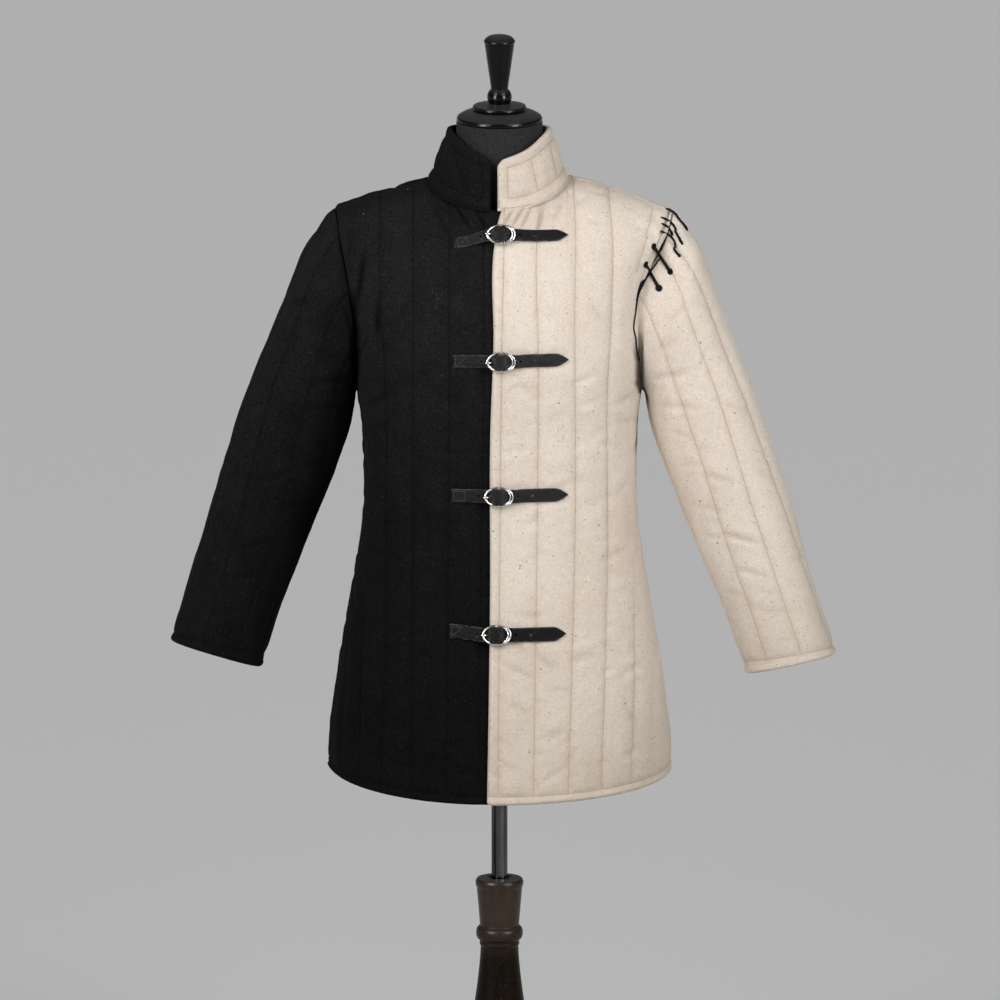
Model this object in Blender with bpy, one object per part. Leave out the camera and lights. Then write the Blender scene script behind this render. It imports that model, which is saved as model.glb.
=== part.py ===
"""Two-colour quilted gambeson on a limbless dress form. Metres, +Z up, front faces -Y, wearer's left is +X."""
import bpy
import numpy as np

for old in list(bpy.data.objects):
    bpy.data.objects.remove(old, do_unlink=True)

# ---------------------------------------------------------------- driving dimensions
WALL = 0.007          # quilted wall of the body and collar
SLEEVE_WALL = 0.006   # quilted wall of the sleeves
NECK_ROWS = 0.54      # rows of the chest run level up to here, then bend to meet the neckline
HEAD_THIN = 0.003     # how much thinner the body wall gets towards the shoulder end
SEAM = 0.00015        # half the gap left between two sewn pieces
OVERLAP = 0.034       # how far the right front runs on under the left front
RAISE = 0.0045        # how far the left front's edge stands off the right front
UNDER = 0.0082        # depth of the right front below the left front's face
ARMPIT = 1.186        # height of the bottom of the armhole
VENT = 0.800          # top of the side vents
VENT_GAP = 0.012      # half the opening of a vent at the hem
HEM_SIDE, HEM_FRONT, HEM_BACK, HEM_LEFT = 0.660, 0.6445, 0.650, 0.0050
NECK_X, NECK_HALF, NECK_FRONT, NECK_BACK, NECK_ROUND = -0.003, 0.094, 0.083, 0.066, 2.35
COLLAR_HALF, COLLAR_FRONT, COLLAR_BACK = {-1: 0.0690, 1: 0.0718}, 0.078, 0.064
STRAP_W, STRAP_T = 0.0186, 0.0026
RING_R, BAR_R, PRONG_R = 0.0016, 0.0015, 0.0010
LACE_R, EYE_R, EYE_WIRE = 0.0018, 0.0036, 0.0010
FORM_BOTTOM = 0.740

# body section by height: half width, depth in front, depth behind, squareness
BODY = dict(
    z=(0.640, 0.700, 0.755, 0.810, 0.866, 0.922, 0.977, 1.033, 1.075, 1.116, 1.150, 1.186),
    half=(0.2350, 0.2312, 0.2251, 0.2170, 0.2074, 0.1979, 0.1884, 0.1836, 0.1828, 0.1845, 0.1875, 0.1930),
    front=(0.172, 0.166, 0.159, 0.151, 0.143, 0.135, 0.128, 0.124, 0.123, 0.125, 0.128, 0.133),
    back=(0.170, 0.166, 0.162, 0.156, 0.147, 0.134, 0.120, 0.110, 0.107, 0.109, 0.113, 0.118),
    square=(2.25, 2.28, 2.30, 2.32, 2.35, 2.38, 2.40, 2.42, 2.45, 2.50, 2.55, 2.60),
)
# chest above the armpit, by share of the height up to the shoulder line
CHEST = dict(
    share=(0.0, 0.15, 0.30, 0.60, 1.0),
    front=(0.133, 0.138, 0.141, 0.143, 0.143),
    back=(0.118, 0.123, 0.126, 0.128, 0.127),
)
SHOULDER = {
    -1: dict(x=(0.0, 0.05, 0.094, 0.122, 0.160, 0.200, 0.228, 0.28), z=(1.493, 1.4895, 1.4795, 1.4725, 1.4605, 1.4480, 1.4375, 1.412)),
    1: dict(x=(0.0, 0.05, 0.094, 0.122, 0.160, 0.200, 0.228, 0.28), z=(1.493, 1.4895, 1.4810, 1.4750, 1.4640, 1.4495, 1.4375, 1.412)),
}
ARMHOLE = {
    -1: dict(share=(0.0, 0.2, 0.44, 0.58, 0.70, 0.85, 1.0), x=(0.1930, 0.1965, 0.2006, 0.2045, 0.2100, 0.2175, 0.2250)),
    1: dict(share=(0.0, 0.2, 0.40, 0.52, 0.60, 0.70, 0.78, 0.85, 0.93, 1.0), x=(0.1900, 0.1882, 0.1868, 0.1875, 0.1900, 0.1980, 0.2070, 0.2150, 0.2230, 0.2290)),
}
ARM_DEPTH, ARM_ROUND = 0.50, 0.35     # half depth of the armhole as a share of the chest's, and where its round bottom ends
EDGE = dict(z=(0.640, 0.790, 0.930, 1.150, 1.280, 1.410, 1.440, 1.4575), x=(-0.0186, -0.0160, -0.0143, -0.0140, -0.0096, -0.0084, -0.0030, 0.0034))

# sleeve: outer (shoulder side) and inner (armpit side) line, half depth, and the centre's y
SLEEVE = dict(
    run=(0.0, 0.04, 0.08, 0.13, 0.19, 0.25, 0.31, 0.37, 0.43, 0.50, 0.57, 0.64, 0.71, 0.78, 0.85, 0.92, 1.0),
    outer_x=(0.2225, 0.2400, 0.2510, 0.2655, 0.2785, 0.2945, 0.3115, 0.3285, 0.3420, 0.3560, 0.3700, 0.3828, 0.3952, 0.4072, 0.4190, 0.4318, 0.4490),
    outer_z=(1.4380, 1.4240, 1.4090, 1.3870, 1.3580, 1.3150, 1.2700, 1.2276, 1.1900, 1.1480, 1.1040, 1.0608, 1.0190, 0.9774, 0.9370, 0.8940, 0.8412),
    inner_x=(0.1930, 0.1952, 0.1968, 0.1980, 0.1988, 0.1994, 0.2000, 0.2012, 0.2045, 0.2140, 0.2270, 0.2400, 0.2530, 0.2660, 0.2800, 0.2990, 0.3260),
    inner_z=(1.1860, 1.1849, 1.1833, 1.1810, 1.1780, 1.1738, 1.1680, 1.1600, 1.1430, 1.1120, 1.0760, 1.0430, 1.0100, 0.9760, 0.9400, 0.8900, 0.8040),
    depth=(0.0660, 0.0670, 0.0680, 0.0690, 0.0690, 0.0685, 0.0680, 0.0675, 0.0670, 0.0660, 0.0650, 0.0640, 0.0630, 0.0620, 0.0610, 0.0600, 0.0590),
    y=(0.0, 0.0, 0.0, -0.0005, -0.001, -0.002, -0.003, -0.004, -0.005, -0.006, -0.007, -0.008, -0.009, -0.010, -0.011, -0.012, -0.013),
)
SLEEVE_OWN = {
    -1: dict(run=(0.0, 0.04, 0.13, 0.30, 0.45, 0.70, 0.85, 1.0), ox=(0, -0.0035, -0.0042, -0.0018, 0, 0, 0, 0), oz=(0, -0.0020, -0.0012, 0, 0, 0, 0, 0), ix=(0,) * 8, iz=(0,) * 8),
    1: dict(run=(0.0, 0.04, 0.13, 0.30, 0.45, 0.70, 0.85, 1.0), ox=(0, -0.0018, -0.0014, 0, 0, 0.0024, 0.0048, 0.0068), oz=(0, -0.0010, 0, 0, 0, -0.0080, -0.0140, -0.0190),
            ix=(0, 0, 0, 0, 0, 0.0012, 0.0045, 0.0095), iz=(0, 0, 0, 0, 0, -0.0040, -0.0070, -0.0095)),
}
CUFF_RISE = 0.008
ARM_FADE = 0.28
LACED = dict(share=(0.0, 0.36, 0.46, 0.54, 0.62, 0.70, 0.78, 0.86, 0.93, 1.0), front=(0.0010, 0.0012, 0.0020, 0.0045, 0.0110, 0.0175, 0.0200, 0.0165, 0.0105, 0.0070),
             back=(0.0005, 0.0005, 0.0005, 0.0005, 0.0005, 0.0005, 0.0008, 0.0020, 0.0045, 0.0070))

# the four fastenings: height, centre of the buckle, left end, right tip, and how far the left end drops
FASTENINGS = (
    dict(z=1.4207, x=0.0003, left=-0.0625, tip=0.0910, drop=0.0085),
    dict(z=1.2560, x=0.0008, left=-0.0640, tip=0.0918, drop=0.0010),
    dict(z=1.0655, x=-0.0022, left=-0.0660, tip=0.0911, drop=0.0010),
    dict(z=0.8760, x=-0.0052, left=-0.0690, tip=0.0883, drop=-0.0040),
)
# stand and finial turned about the pole: radius, height
POST = ((0.0, 0.0305), (0.060, 0.0305), (0.062, 0.040), (0.058, 0.052), (0.044, 0.064), (0.036, 0.085), (0.042, 0.115), (0.053, 0.150), (0.058, 0.185), (0.055, 0.225),
        (0.048, 0.270), (0.0392, 0.305), (0.0340, 0.335), (0.0297, 0.366), (0.0268, 0.394), (0.0256, 0.4140), (0.0270, 0.4175), (0.0266, 0.4226), (0.0298, 0.4240), (0.0318, 0.4330),
        (0.0308, 0.4378), (0.0266, 0.4424), (0.0278, 0.4580), (0.0295, 0.4780), (0.0309, 0.4955), (0.0327, 0.5018), (0.0303, 0.5078), (0.0150, 0.5088), (0.0118, 0.5040), (0.0118, 0.440), (0.0, 0.440))
BASE = ((0.0, 0.0), (0.195, 0.0), (0.200, 0.004), (0.200, 0.020), (0.194, 0.027), (0.170, 0.030), (0.0, 0.030))
POLE = ((0.0, 0.4405), (0.0110, 0.4405), (0.0110, 0.7395), (0.0, 0.7395))
NECK = ((0.0, 1.38), (0.060, 1.38), (0.0595, 1.44), (0.059, 1.468), (0.0585, 1.495), (0.0585, 1.52), (0.0585, 1.5598), (0.0, 1.5598))
CAP = ((0.0, 1.5603), (0.0566, 1.5603), (0.0584, 1.5635), (0.0578, 1.5655), (0.0562, 1.5677), (0.0430, 1.5739), (0.0375, 1.5751), (0.0, 1.5753))
DISC = ((0.0, 1.5756), (0.0345, 1.5756), (0.0368, 1.5789), (0.0345, 1.5820), (0.0175, 1.5839), (0.0, 1.5850))
FINIAL = ((0.0, 1.5852), (0.0146, 1.5852), (0.0165, 1.5905), (0.0168, 1.5938), (0.0160, 1.5980), (0.0116, 1.6042), (0.0129, 1.6150), (0.0151, 1.6300), (0.0175, 1.6470), (0.0204, 1.6682),
          (0.0213, 1.6710), (0.0204, 1.6724), (0.0110, 1.6784), (0.0, 1.6794))
STAND_X, STAND_Y = -0.0014, -0.004


# ---------------------------------------------------------------- curves
def along(table, key, at, axis="z"):
    """Smooth curve through the columns of a table."""
    x, y = np.asarray(table[axis], float), np.asarray(table[key], float)
    d = np.diff(y) / np.diff(x)
    m = np.empty_like(y)
    m[0], m[-1] = d[0], d[-1]
    h = np.diff(x)
    m[1:-1] = (d[:-1] * h[1:] + d[1:] * h[:-1]) / (h[1:] + h[:-1])
    at = np.clip(np.asarray(at, float), x[0], x[-1])
    i = np.clip(np.searchsorted(x, at, side="right") - 1, 0, len(x) - 2)
    t = (at - x[i]) / h[i]
    return ((1 + 2 * t) * (1 - t) ** 2 * y[i] + t * (1 - t) ** 2 * h[i] * m[i] + t * t * (3 - 2 * t) * y[i + 1] + t * t * (t - 1) * h[i] * m[i + 1])


def ease(low, high, x):
    t = np.clip((np.asarray(x, float) - low) / (high - low), 0, 1)
    return t * t * (3 - 2 * t)


def unit(v):
    return v / np.maximum(np.linalg.norm(v, axis=-1, keepdims=True), 1e-12)


# ---------------------------------------------------------------- body surface
# v runs 0 to 1 from hem to armpit and 1 to 2 from armpit to shoulder seam; alpha runs from the middle round to the side
def share_of(v):
    return np.sin(0.5 * np.pi * np.clip(v - 1, 0, 1)) ** 2


def arm_depth(share):
    return ARM_DEPTH * np.sqrt(np.clip(1 - (1 - np.minimum(share / ARM_ROUND, 1)) ** 2, 0, 1))


def section(side, face, v):
    """Half width, depth and squareness of the body at v."""
    share, low = share_of(v), np.minimum(v, 1)
    z = HEM_SIDE + low * (ARMPIT - HEM_SIDE)
    n = along(BODY, "square", z)
    half = along(BODY, "half", z)
    deep = along(BODY, face, z)
    arm = along(ARMHOLE[side], "x", share, "share")
    wide = arm / (1 - arm_depth(share) ** n) ** (1 / n)
    blend = ease(0.72, 1.0, v)
    half = np.where(v > 1, wide, half + (ARMHOLE[side]["x"][0] - BODY["half"][-1]) * blend)
    deep = np.where(v > 1, along(CHEST, face, share, "share") * np.sqrt(np.clip(1 - share ** 3, 0, 1)), deep)
    return half, deep, n


def body(side, face, alpha, v):
    half, deep, n = section(side, face, v)
    s, c = np.sin(alpha), np.cos(alpha)
    r = (np.abs(s) ** n + np.abs(c) ** n) ** (1 / n)
    x, y = half * s / r, deep * c / r
    hem = HEM_SIDE + ((HEM_FRONT if face == "front" else HEM_BACK) - HEM_SIDE) * np.cos(alpha) ** 2 + (HEM_LEFT * np.sin(alpha) ** 4 if side < 0 else 0.0)
    low = hem + np.minimum(v, 1) * (ARMPIT - hem)
    z = np.where(v > 1, ARMPIT + share_of(v) * (along(SHOULDER[side], "z", np.abs(x), "x") - ARMPIT), low)
    return np.stack(np.broadcast_arrays(side * x, -y if face == "front" else y, z), -1)


def body_normal(side, face, alpha, v):
    e = 2e-4
    da = body(side, face, alpha + e, v) - body(side, face, alpha - e, v)
    up = np.where(v > 1, np.minimum(v, 2 - 2 * e), v)
    dv = body(side, face, alpha, up + e) - body(side, face, alpha, up - e)
    n = unit(np.cross(da, dv))
    return n * (side if face == "front" else -side)


def alpha_at(side, face, x, v):
    """Angle whose point lies at x (measured towards this side)."""
    half, _, n = section(side, face, v)
    q = np.clip(x / half, -0.999, 0.999)
    return np.arctan2(q, (1 - np.abs(q) ** n) ** (1 / n))


def alpha_arm(side, v):
    share = share_of(v)
    _, _, n = section(side, "front", v)
    d = arm_depth(share)
    return np.where(v > 1, np.arctan2((1 - d ** n) ** (1 / n), d), np.pi / 2)


def height_v(face, z, alpha=0.0):
    hem = HEM_SIDE + ((HEM_FRONT if face == "front" else HEM_BACK) - HEM_SIDE) * np.cos(alpha) ** 2
    share = np.clip((z - ARMPIT) / (1.492 - ARMPIT), 0, 1)
    return np.where(z > ARMPIT, 1 + np.arcsin(np.sqrt(share)) * 2 / np.pi, (z - hem) / (ARMPIT - hem))


def front_edge(v):
    """x of the left front's edge at v."""
    z = np.where(v > 1, ARMPIT + share_of(v) * (1.492 - ARMPIT), HEM_FRONT + v * (ARMPIT - HEM_FRONT))
    return along(EDGE, "x", z)


def neck_v(side, face, x):
    """v of the neckline at x, 2 where the shoulder seam takes over."""
    reach = NECK_FRONT if face == "front" else NECK_BACK
    off = np.clip(np.abs(x - side * NECK_X) / NECK_HALF, 0, 1)
    y = reach * (1 - off ** NECK_ROUND) ** (1 / NECK_ROUND)
    share = 0.9 * np.ones_like(off)
    for _ in range(12):
        v = 1 + np.arcsin(np.sqrt(share)) * 2 / np.pi
        half, _, n = section(side, face, v)
        full = along(CHEST, face, share, "share") * (1 - np.clip(np.abs(x) / half, 0, 0.99) ** n) ** (1 / n)
        share = np.clip(1 - (y / full) ** 2, 0, 1) ** (1 / 3)
    return 1 + np.arcsin(np.sqrt(share)) * 2 / np.pi


def vent(side, v):
    z = HEM_SIDE + np.minimum(v, 1) * (ARMPIT - HEM_SIDE)
    return VENT_GAP * np.clip((VENT - z) / (VENT - HEM_SIDE), 0, 1) ** 0.8 / 0.17


def panel(side, face, start, across, low, high):
    """Grid of alpha and v for one body panel: start(v) is x of its inner edge, low and high are the row shares."""
    s = np.asarray(across)[None, :]
    top = np.full_like(s, 2.0)
    for _ in range(14):
        first = alpha_at(side, face, start(top), top)
        last = alpha_arm(side, top)
        a = first + s * (last - first)
        half, _, n = section(side, face, top)
        x = half * np.sin(a) / (np.abs(np.sin(a)) ** n + np.abs(np.cos(a)) ** n) ** (1 / n)
        top = 0.5 * top + 0.5 * np.minimum(neck_v(side, face, x), 2 - 1e-3)
    r = np.asarray(high)[1:, None]
    keep = np.minimum(NECK_ROWS, 1 - 1e-6)
    w = np.where(r <= keep, r, keep + (r - keep) / (1 - keep) * (top - 1 - keep))
    v = np.concatenate([np.repeat(np.asarray(low)[:, None], len(across), 1), 1 + w])
    first = alpha_at(side, face, start(v), v)
    last = alpha_arm(side, v) - SEAM / 0.19 - vent(side, v)
    return first + s * (last - first), v


def lift(side, face, alpha, v, x):
    """How far the face of a front stands off the body surface, where the fronts overlap."""
    if face == "back":
        return np.zeros_like(x)
    d = side * x - front_edge(v) if side > 0 else -x - front_edge(v)
    raised = RAISE * (1 - ease(0, 0.07, d))
    if side > 0:
        return raised
    return np.where(d > 0, raised - UNDER, (RAISE - UNDER) * ease(-0.026, 0, d))


def panel_points(side, face, alpha, v, thick=WALL):
    p, n = body(side, face, alpha, v), body_normal(side, face, alpha, v)
    thick = thick - HEAD_THIN * ease(1.15, 1.38, v) * ease(alpha_arm(side, v) - 0.30, alpha_arm(side, v) - 0.08, alpha)
    thick = thick[..., None]
    up = lift(side, face, alpha, v, side * p[..., 0])[..., None]
    return p + n * up, p + n * (up - thick)


# ---------------------------------------------------------------- sleeve surface
def armhole(side, theta):
    """Armhole line, theta 0 on the shoulder, pi at the armpit, round the front first."""
    share = np.cos(theta / 2) ** 2
    v = 1 + np.arcsin(np.sqrt(share)) * 2 / np.pi
    a = alpha_arm(side, v)
    front = (theta % (2 * np.pi)) <= np.pi
    f, b = body(side, "front", a, v), body(side, "back", a, v)
    fn, bn = body_normal(side, "front", a, v), body_normal(side, "back", a, v)
    return np.where(front[..., None], f, b), np.where(front[..., None], fn, bn), share, front


def sleeve(side, theta, run):
    own = SLEEVE_OWN[side]
    o = np.stack([along(SLEEVE, "outer_x", run, "run") + along(own, "ox", run, "run"), along(SLEEVE, "outer_z", run, "run") + along(own, "oz", run, "run")], -1)
    i = np.stack([along(SLEEVE, "inner_x", run, "run") + along(own, "ix", run, "run"), along(SLEEVE, "inner_z", run, "run") + along(own, "iz", run, "run")], -1)
    mid, arm = (o + i) / 2, (o - i) / 2
    c, s = np.cos(theta), np.sin(theta)
    n = 2.3
    r = (np.abs(s) ** n + np.abs(c) ** n) ** (1 / n)
    c, s = c / r, s / r
    x = mid[..., 0] + c * arm[..., 0]
    z = mid[..., 1] + c * arm[..., 1] + CUFF_RISE * s * np.clip((run - 0.5) / 0.5, 0, 1) ** 2
    y = along(SLEEVE, "y", run, "run") - s * along(SLEEVE, "depth", run, "run")
    p = np.stack(np.broadcast_arrays(side * x, y, z), -1)
    hole, hole_n, share, front = armhole(side, theta)
    gap = np.where(front, along(LACED, "front", share, "share"), along(LACED, "back", share, "share")) if side > 0 else 0.0005
    along_hole = armhole(side, theta + 1e-3)[0] - armhole(side, theta - 1e-3)[0]
    away = unit(np.cross(hole_n, along_hole))
    inward = np.stack(np.broadcast_arrays(0.6 * side, -hole[..., 1], 1.31 - hole[..., 2]), -1)
    away = away * np.sign((away * inward).sum(-1, keepdims=True))
    hole = hole + away * (gap + 0 * share)[..., None]
    first = sleeve_ring(side, theta)
    fade = np.clip(1 - run / ARM_FADE, 0, 1) ** 2
    return p + (hole - first) * fade[..., None]


def sleeve_ring(side, theta):
    c, s = np.cos(theta), np.sin(theta)
    r = (np.abs(s) ** 2.3 + np.abs(c) ** 2.3) ** (1 / 2.3)
    o = np.array([SLEEVE["outer_x"][0], SLEEVE["outer_z"][0]])
    i = np.array([SLEEVE["inner_x"][0], SLEEVE["inner_z"][0]])
    m, a = (o + i) / 2, (o - i) / 2
    return np.stack([side * (m[0] + c / r * a[0]), -s / r * SLEEVE["depth"][0], m[1] + c / r * a[1]], -1)


def sleeve_normal(side, theta, run):
    e = 3e-4
    dt = sleeve(side, theta + e, run) - sleeve(side, theta - e, run)
    dr = sleeve(side, theta, np.minimum(run + e, 1)) - sleeve(side, theta, np.maximum(run - e, 0))
    return unit(np.cross(dt, dr)) * side


# ---------------------------------------------------------------- collar surface
def collar(side, beta, q):
    """beta runs from the front to the middle of the back, q from the neckline to the top."""
    sb, cb = np.sin(beta), np.cos(beta)
    base_x = NECK_HALF * sb
    face_front = cb >= 0
    out = {}
    for face in ("front", "back"):
        v = np.minimum(neck_v(side, face, np.abs(base_x) + side * NECK_X), 2)
        a = alpha_at(side, face, base_x + side * NECK_X, v)
        out[face] = body(side, face, a, v)
    base = np.where(face_front[..., None], out["front"], out["back"])
    t = np.abs(beta)
    top = dict(t=(0, 0.6, 1.0, 1.4, 1.6, 2.2, 3.15), z=(1.5180, 1.5315, 1.5435, 1.5497, 1.5502, 1.5475, 1.5420))
    tip = np.stack([side * COLLAR_HALF[side] * sb + NECK_X, -np.where(face_front, COLLAR_FRONT, COLLAR_BACK) * cb, along(top, "z", t, "t")], -1)
    q = np.asarray(q, float)[..., None]
    out_dir = np.stack([side * sb, -cb, 0 * sb], -1)
    return base + (tip - base) * q + out_dir * (0.0020 * np.sin(np.pi * q) - 0.0045 * q * (1 - q) ** 2)


def collar_normal(side, beta, q):
    e = 1e-3
    db = collar(side, beta + e, q) - collar(side, beta - e, q)
    dq = collar(side, beta, np.minimum(q + e, 1)) - collar(side, beta, np.maximum(q - e, 0))
    return unit(np.cross(db, dq)) * side


# ---------------------------------------------------------------- meshes
def make(name, verts, faces, colour, rough=0.9, metal=0.0):
    mesh = bpy.data.meshes.new(name)
    mesh.from_pydata([tuple(map(float, p)) for p in verts], [], [tuple(map(int, f)) for f in faces])
    mesh.update()
    volume = 0.0
    for poly in mesh.polygons:
        ids = list(poly.vertices)
        for k in range(1, len(ids) - 1):
            a, b, c = (mesh.vertices[ids[j]].co for j in (0, k, k + 1))
            volume += a.dot(b.cross(c))
    if volume < 0:
        mesh.flip_normals()
    obj = bpy.data.objects.new(name, mesh)
    bpy.context.scene.collection.objects.link(obj)
    mat = bpy.data.materials.new(name)
    mat.use_nodes = True
    shader = mat.node_tree.nodes["Principled BSDF"]
    shader.inputs["Base Color"].default_value = (*colour, 1)
    shader.inputs["Roughness"].default_value = rough
    shader.inputs["Metallic"].default_value = metal
    mat.diffuse_color = (*colour, 1)
    mesh.materials.append(mat)
    return obj


def wall(name, outer, inner, colour, ring=False, rough=0.9):
    """Closed wall between two grids; ring joins the last column to the first."""
    rows, cols = outer.shape[:2]
    verts = np.concatenate([outer.reshape(-1, 3), inner.reshape(-1, 3)])
    shift = rows * cols
    at = lambda r, c, k=0: r * cols + c % cols + k * shift
    faces = []
    for r in range(rows - 1):
        for c in range(cols if ring else cols - 1):
            a, b, d, e = at(r, c), at(r, c + 1), at(r + 1, c + 1), at(r + 1, c)
            faces += [(a, b, d), (a, d, e), (a + shift, d + shift, b + shift), (a + shift, e + shift, d + shift)]
    edge = []
    for c in range(cols if ring else cols - 1):
        edge += [(at(0, c + 1), at(0, c)), (at(rows - 1, c), at(rows - 1, c + 1))]
    if not ring:
        for r in range(rows - 1):
            edge += [(at(r, 0), at(r + 1, 0)), (at(r + 1, cols - 1), at(r, cols - 1))]
    for a, b in edge:
        faces += [(a, b, b + shift), (a, b + shift, a + shift)]
    return make(name, verts, faces, colour, rough)


def turned(name, profile, colour, rough=0.5, metal=0.0, around=32, x=STAND_X, y=STAND_Y):
    ang = np.linspace(0, 2 * np.pi, around, endpoint=False)
    verts, index = [], []
    for r, z in profile:
        if r == 0:
            index.append([len(verts)] * around)
            verts.append((x, y, z))
        else:
            index.append(list(range(len(verts), len(verts) + around)))
            verts += [(x + r * np.cos(t), y + r * np.sin(t), z) for t in ang]
    faces = []
    for low, high in zip(index, index[1:]):
        for k in range(around):
            a, b, c, d = low[k], low[(k + 1) % around], high[(k + 1) % around], high[k]
            faces += [f for f in ((a, b, c), (a, c, d)) if len(set(f)) == 3]
    return make(name, verts, faces, colour, rough, metal)


def tube(name, path, radius, colour, sides=8, loop=False, rough=0.5, metal=0.0, squash=1.0, up=None):
    """Round bar along a path of points; the ends are capped."""
    path = np.asarray(path, float)
    n = len(path)
    radius = np.broadcast_to(radius, (n,))
    tan = unit(np.roll(path, -1, 0) - np.roll(path, 1, 0)) if loop else unit(np.gradient(path, axis=0))
    up = np.asarray(up if up is not None else (0.03, -1.0, 0.05), float)
    u = unit(np.cross(tan, up))
    w = unit(np.cross(u, tan))
    ang = np.linspace(0, 2 * np.pi, sides, endpoint=False)
    ring = path[:, None] + radius[:, None, None] * (np.cos(ang)[None, :, None] * u[:, None] + squash * np.sin(ang)[None, :, None] * w[:, None])
    verts = list(ring.reshape(-1, 3))
    faces = []
    for i in range(n if loop else n - 1):
        j = (i + 1) % n
        for k in range(sides):
            m = (k + 1) % sides
            a, b, c, d = i * sides + k, i * sides + m, j * sides + m, j * sides + k
            faces += [(a, b, c), (a, c, d)]
    if not loop:
        for i, turn in ((0, 1), (n - 1, -1)):
            verts.append(path[i])
            for k in range(sides):
                f = (len(verts) - 1, i * sides + (k + 1) % sides, i * sides + k)
                faces.append(f if turn > 0 else f[::-1])
    return make(name, verts, faces, colour, rough, metal)


def ribbon(name, path, normals, half, thick, colour, across=(-1.0, 0.0, 1.0), rough=0.6):
    """Flat strip: path is its middle line, half the half width at each station."""
    path, normals = np.asarray(path, float), unit(np.asarray(normals, float))
    tan = unit(np.gradient(path, axis=0))
    side = unit(np.cross(tan, normals))
    nor = unit(np.cross(side, tan))
    grid = path[:, None] + side[:, None] * (np.asarray(across)[None, :, None] * np.asarray(half)[:, None, None])
    return wall(name, grid + nor[:, None] * thick / 2, grid - nor[:, None] * thick / 2, colour, rough=rough)


def combine(kind, target, tool):
    mod = target.modifiers.new(kind, "BOOLEAN")
    mod.operation, mod.solver, mod.object = kind, "EXACT", tool
    graph = bpy.context.evaluated_depsgraph_get()
    mesh = bpy.data.meshes.new_from_object(target.evaluated_get(graph))
    target.modifiers.clear()
    target.data = mesh
    bpy.data.objects.remove(tool, do_unlink=True)


# ---------------------------------------------------------------- cloth
BLACK, CREAM = (0.012, 0.012, 0.014), (0.72, 0.64, 0.55)
LOW = np.linspace(0, 1, 12)
HIGH = np.array([0, 0.07, 0.15, 0.24, 0.34, 0.44, 0.54, 0.64, 0.75, 0.87, 1.0])
FRONT_COLS = np.array([0, 0.26, 0.50, 0.70, 0.86, 1.0]), np.array([0.19, 0.38, 0.56, 0.73, 0.88, 1.0])
LAP_COLS = np.array([0, 0.16, 0.29, 0.38, 0.52, 0.68, 0.82, 0.93, 1.0]), FRONT_COLS[1]


def spread(side, face, x0, shares):
    """Column shares with one column running up to the side of the neck."""
    top = np.array(2.0)
    first, last = alpha_at(side, face, np.array(x0), top), alpha_arm(side, top)
    neck = (alpha_at(side, face, np.array(NECK_HALF + side * NECK_X), top) - first) / (last - first)
    return np.concatenate([shares[0] * neck, neck + shares[1] * (1 - neck)])



for side, tone, hue in ((-1, "black", BLACK), (1, "cream", CREAM)):
    inner = (lambda v: front_edge(v)) if side > 0 else (lambda v: -front_edge(v) - OVERLAP)
    cols = spread(side, "front", 0.0034 if side > 0 else -0.0034 - OVERLAP, FRONT_COLS if side > 0 else LAP_COLS)
    a, v = panel(side, "front", inner, cols, LOW, HIGH)
    wall("front_" + tone, *panel_points(side, "front", a, v), hue)
    a, v = panel(side, "back", lambda v: 0.0004 + 0 * v, spread(side, "back", 0.0, FRONT_COLS), LOW, HIGH)
    wall("back_" + tone, *panel_points(side, "back", a, v), hue)

    theta = np.concatenate([np.pi * (1 - HIGH[::-1] * 0.999), 2 * np.pi - np.pi * (1 - HIGH[1:] * 0.999)])[None, :]
    run = np.array([0, 0.035, 0.075, 0.12, 0.17, 0.23, 0.30, 0.37, 0.44, 0.52, 0.62, 0.72, 0.82, 0.91, 1.0])[:, None]
    tt, rr = np.broadcast_arrays(theta, run)
    skin, nor = sleeve(side, tt, rr), sleeve_normal(side, tt, rr)
    hole, hole_n, _, _ = armhole(side, theta)
    nor = np.where((rr < 0.01)[..., None], hole_n, nor)
    wall("sleeve_" + tone, skin, skin - nor * (SLEEVE_WALL - 0.002 * (1 - ease(0.0, 0.16, rr)))[..., None], hue, ring=True)

    edge = 0.0106 if side < 0 else -0.0011
    q = np.linspace(0.008, 1, 5)[:, None]
    t = np.linspace(0, 1, 13)[None, :]
    first = np.arcsin(edge / (NECK_HALF + (COLLAR_HALF[side] - NECK_HALF) * q))
    last = np.pi - SEAM / 0.065
    bb = first + (last - first) * t ** 1.05
    qq = q + 0 * bb
    skin, nor = collar(side, bb, qq), collar_normal(side, bb, qq)
    skin[..., 2] += 0.0016
    wall("collar_" + tone, skin, skin - nor * WALL, hue)

# strip behind the laced gap on the left shoulder
w = HIGH[5:]
rows = []
for face, ws in (("front", w), ("back", w[::-1][1:4])):
    for k in ws:
        vv = np.full(4, min(1 + k, 2 - 1e-3))
        a0 = alpha_arm(1, vv[:1])[0]
        rows.append((face, a0, vv))
grid_o, grid_i = [], []
for face, a0, vv in rows:
    half, _, _ = section(1, face, vv)
    aa = a0 + np.array([-0.075, -0.02, 0.04, 0.10]) * (0.9 + 0.0 * vv)
    p, n = body(1, face, aa, vv), body_normal(1, face, aa, vv)
    grid_o.append(p - n * (WALL - HEAD_THIN + 0.0010))
    grid_i.append(p - n * (WALL - HEAD_THIN + 0.0030))
wall("shoulder_underlap", np.array(grid_o), np.array(grid_i), CREAM)

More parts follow.
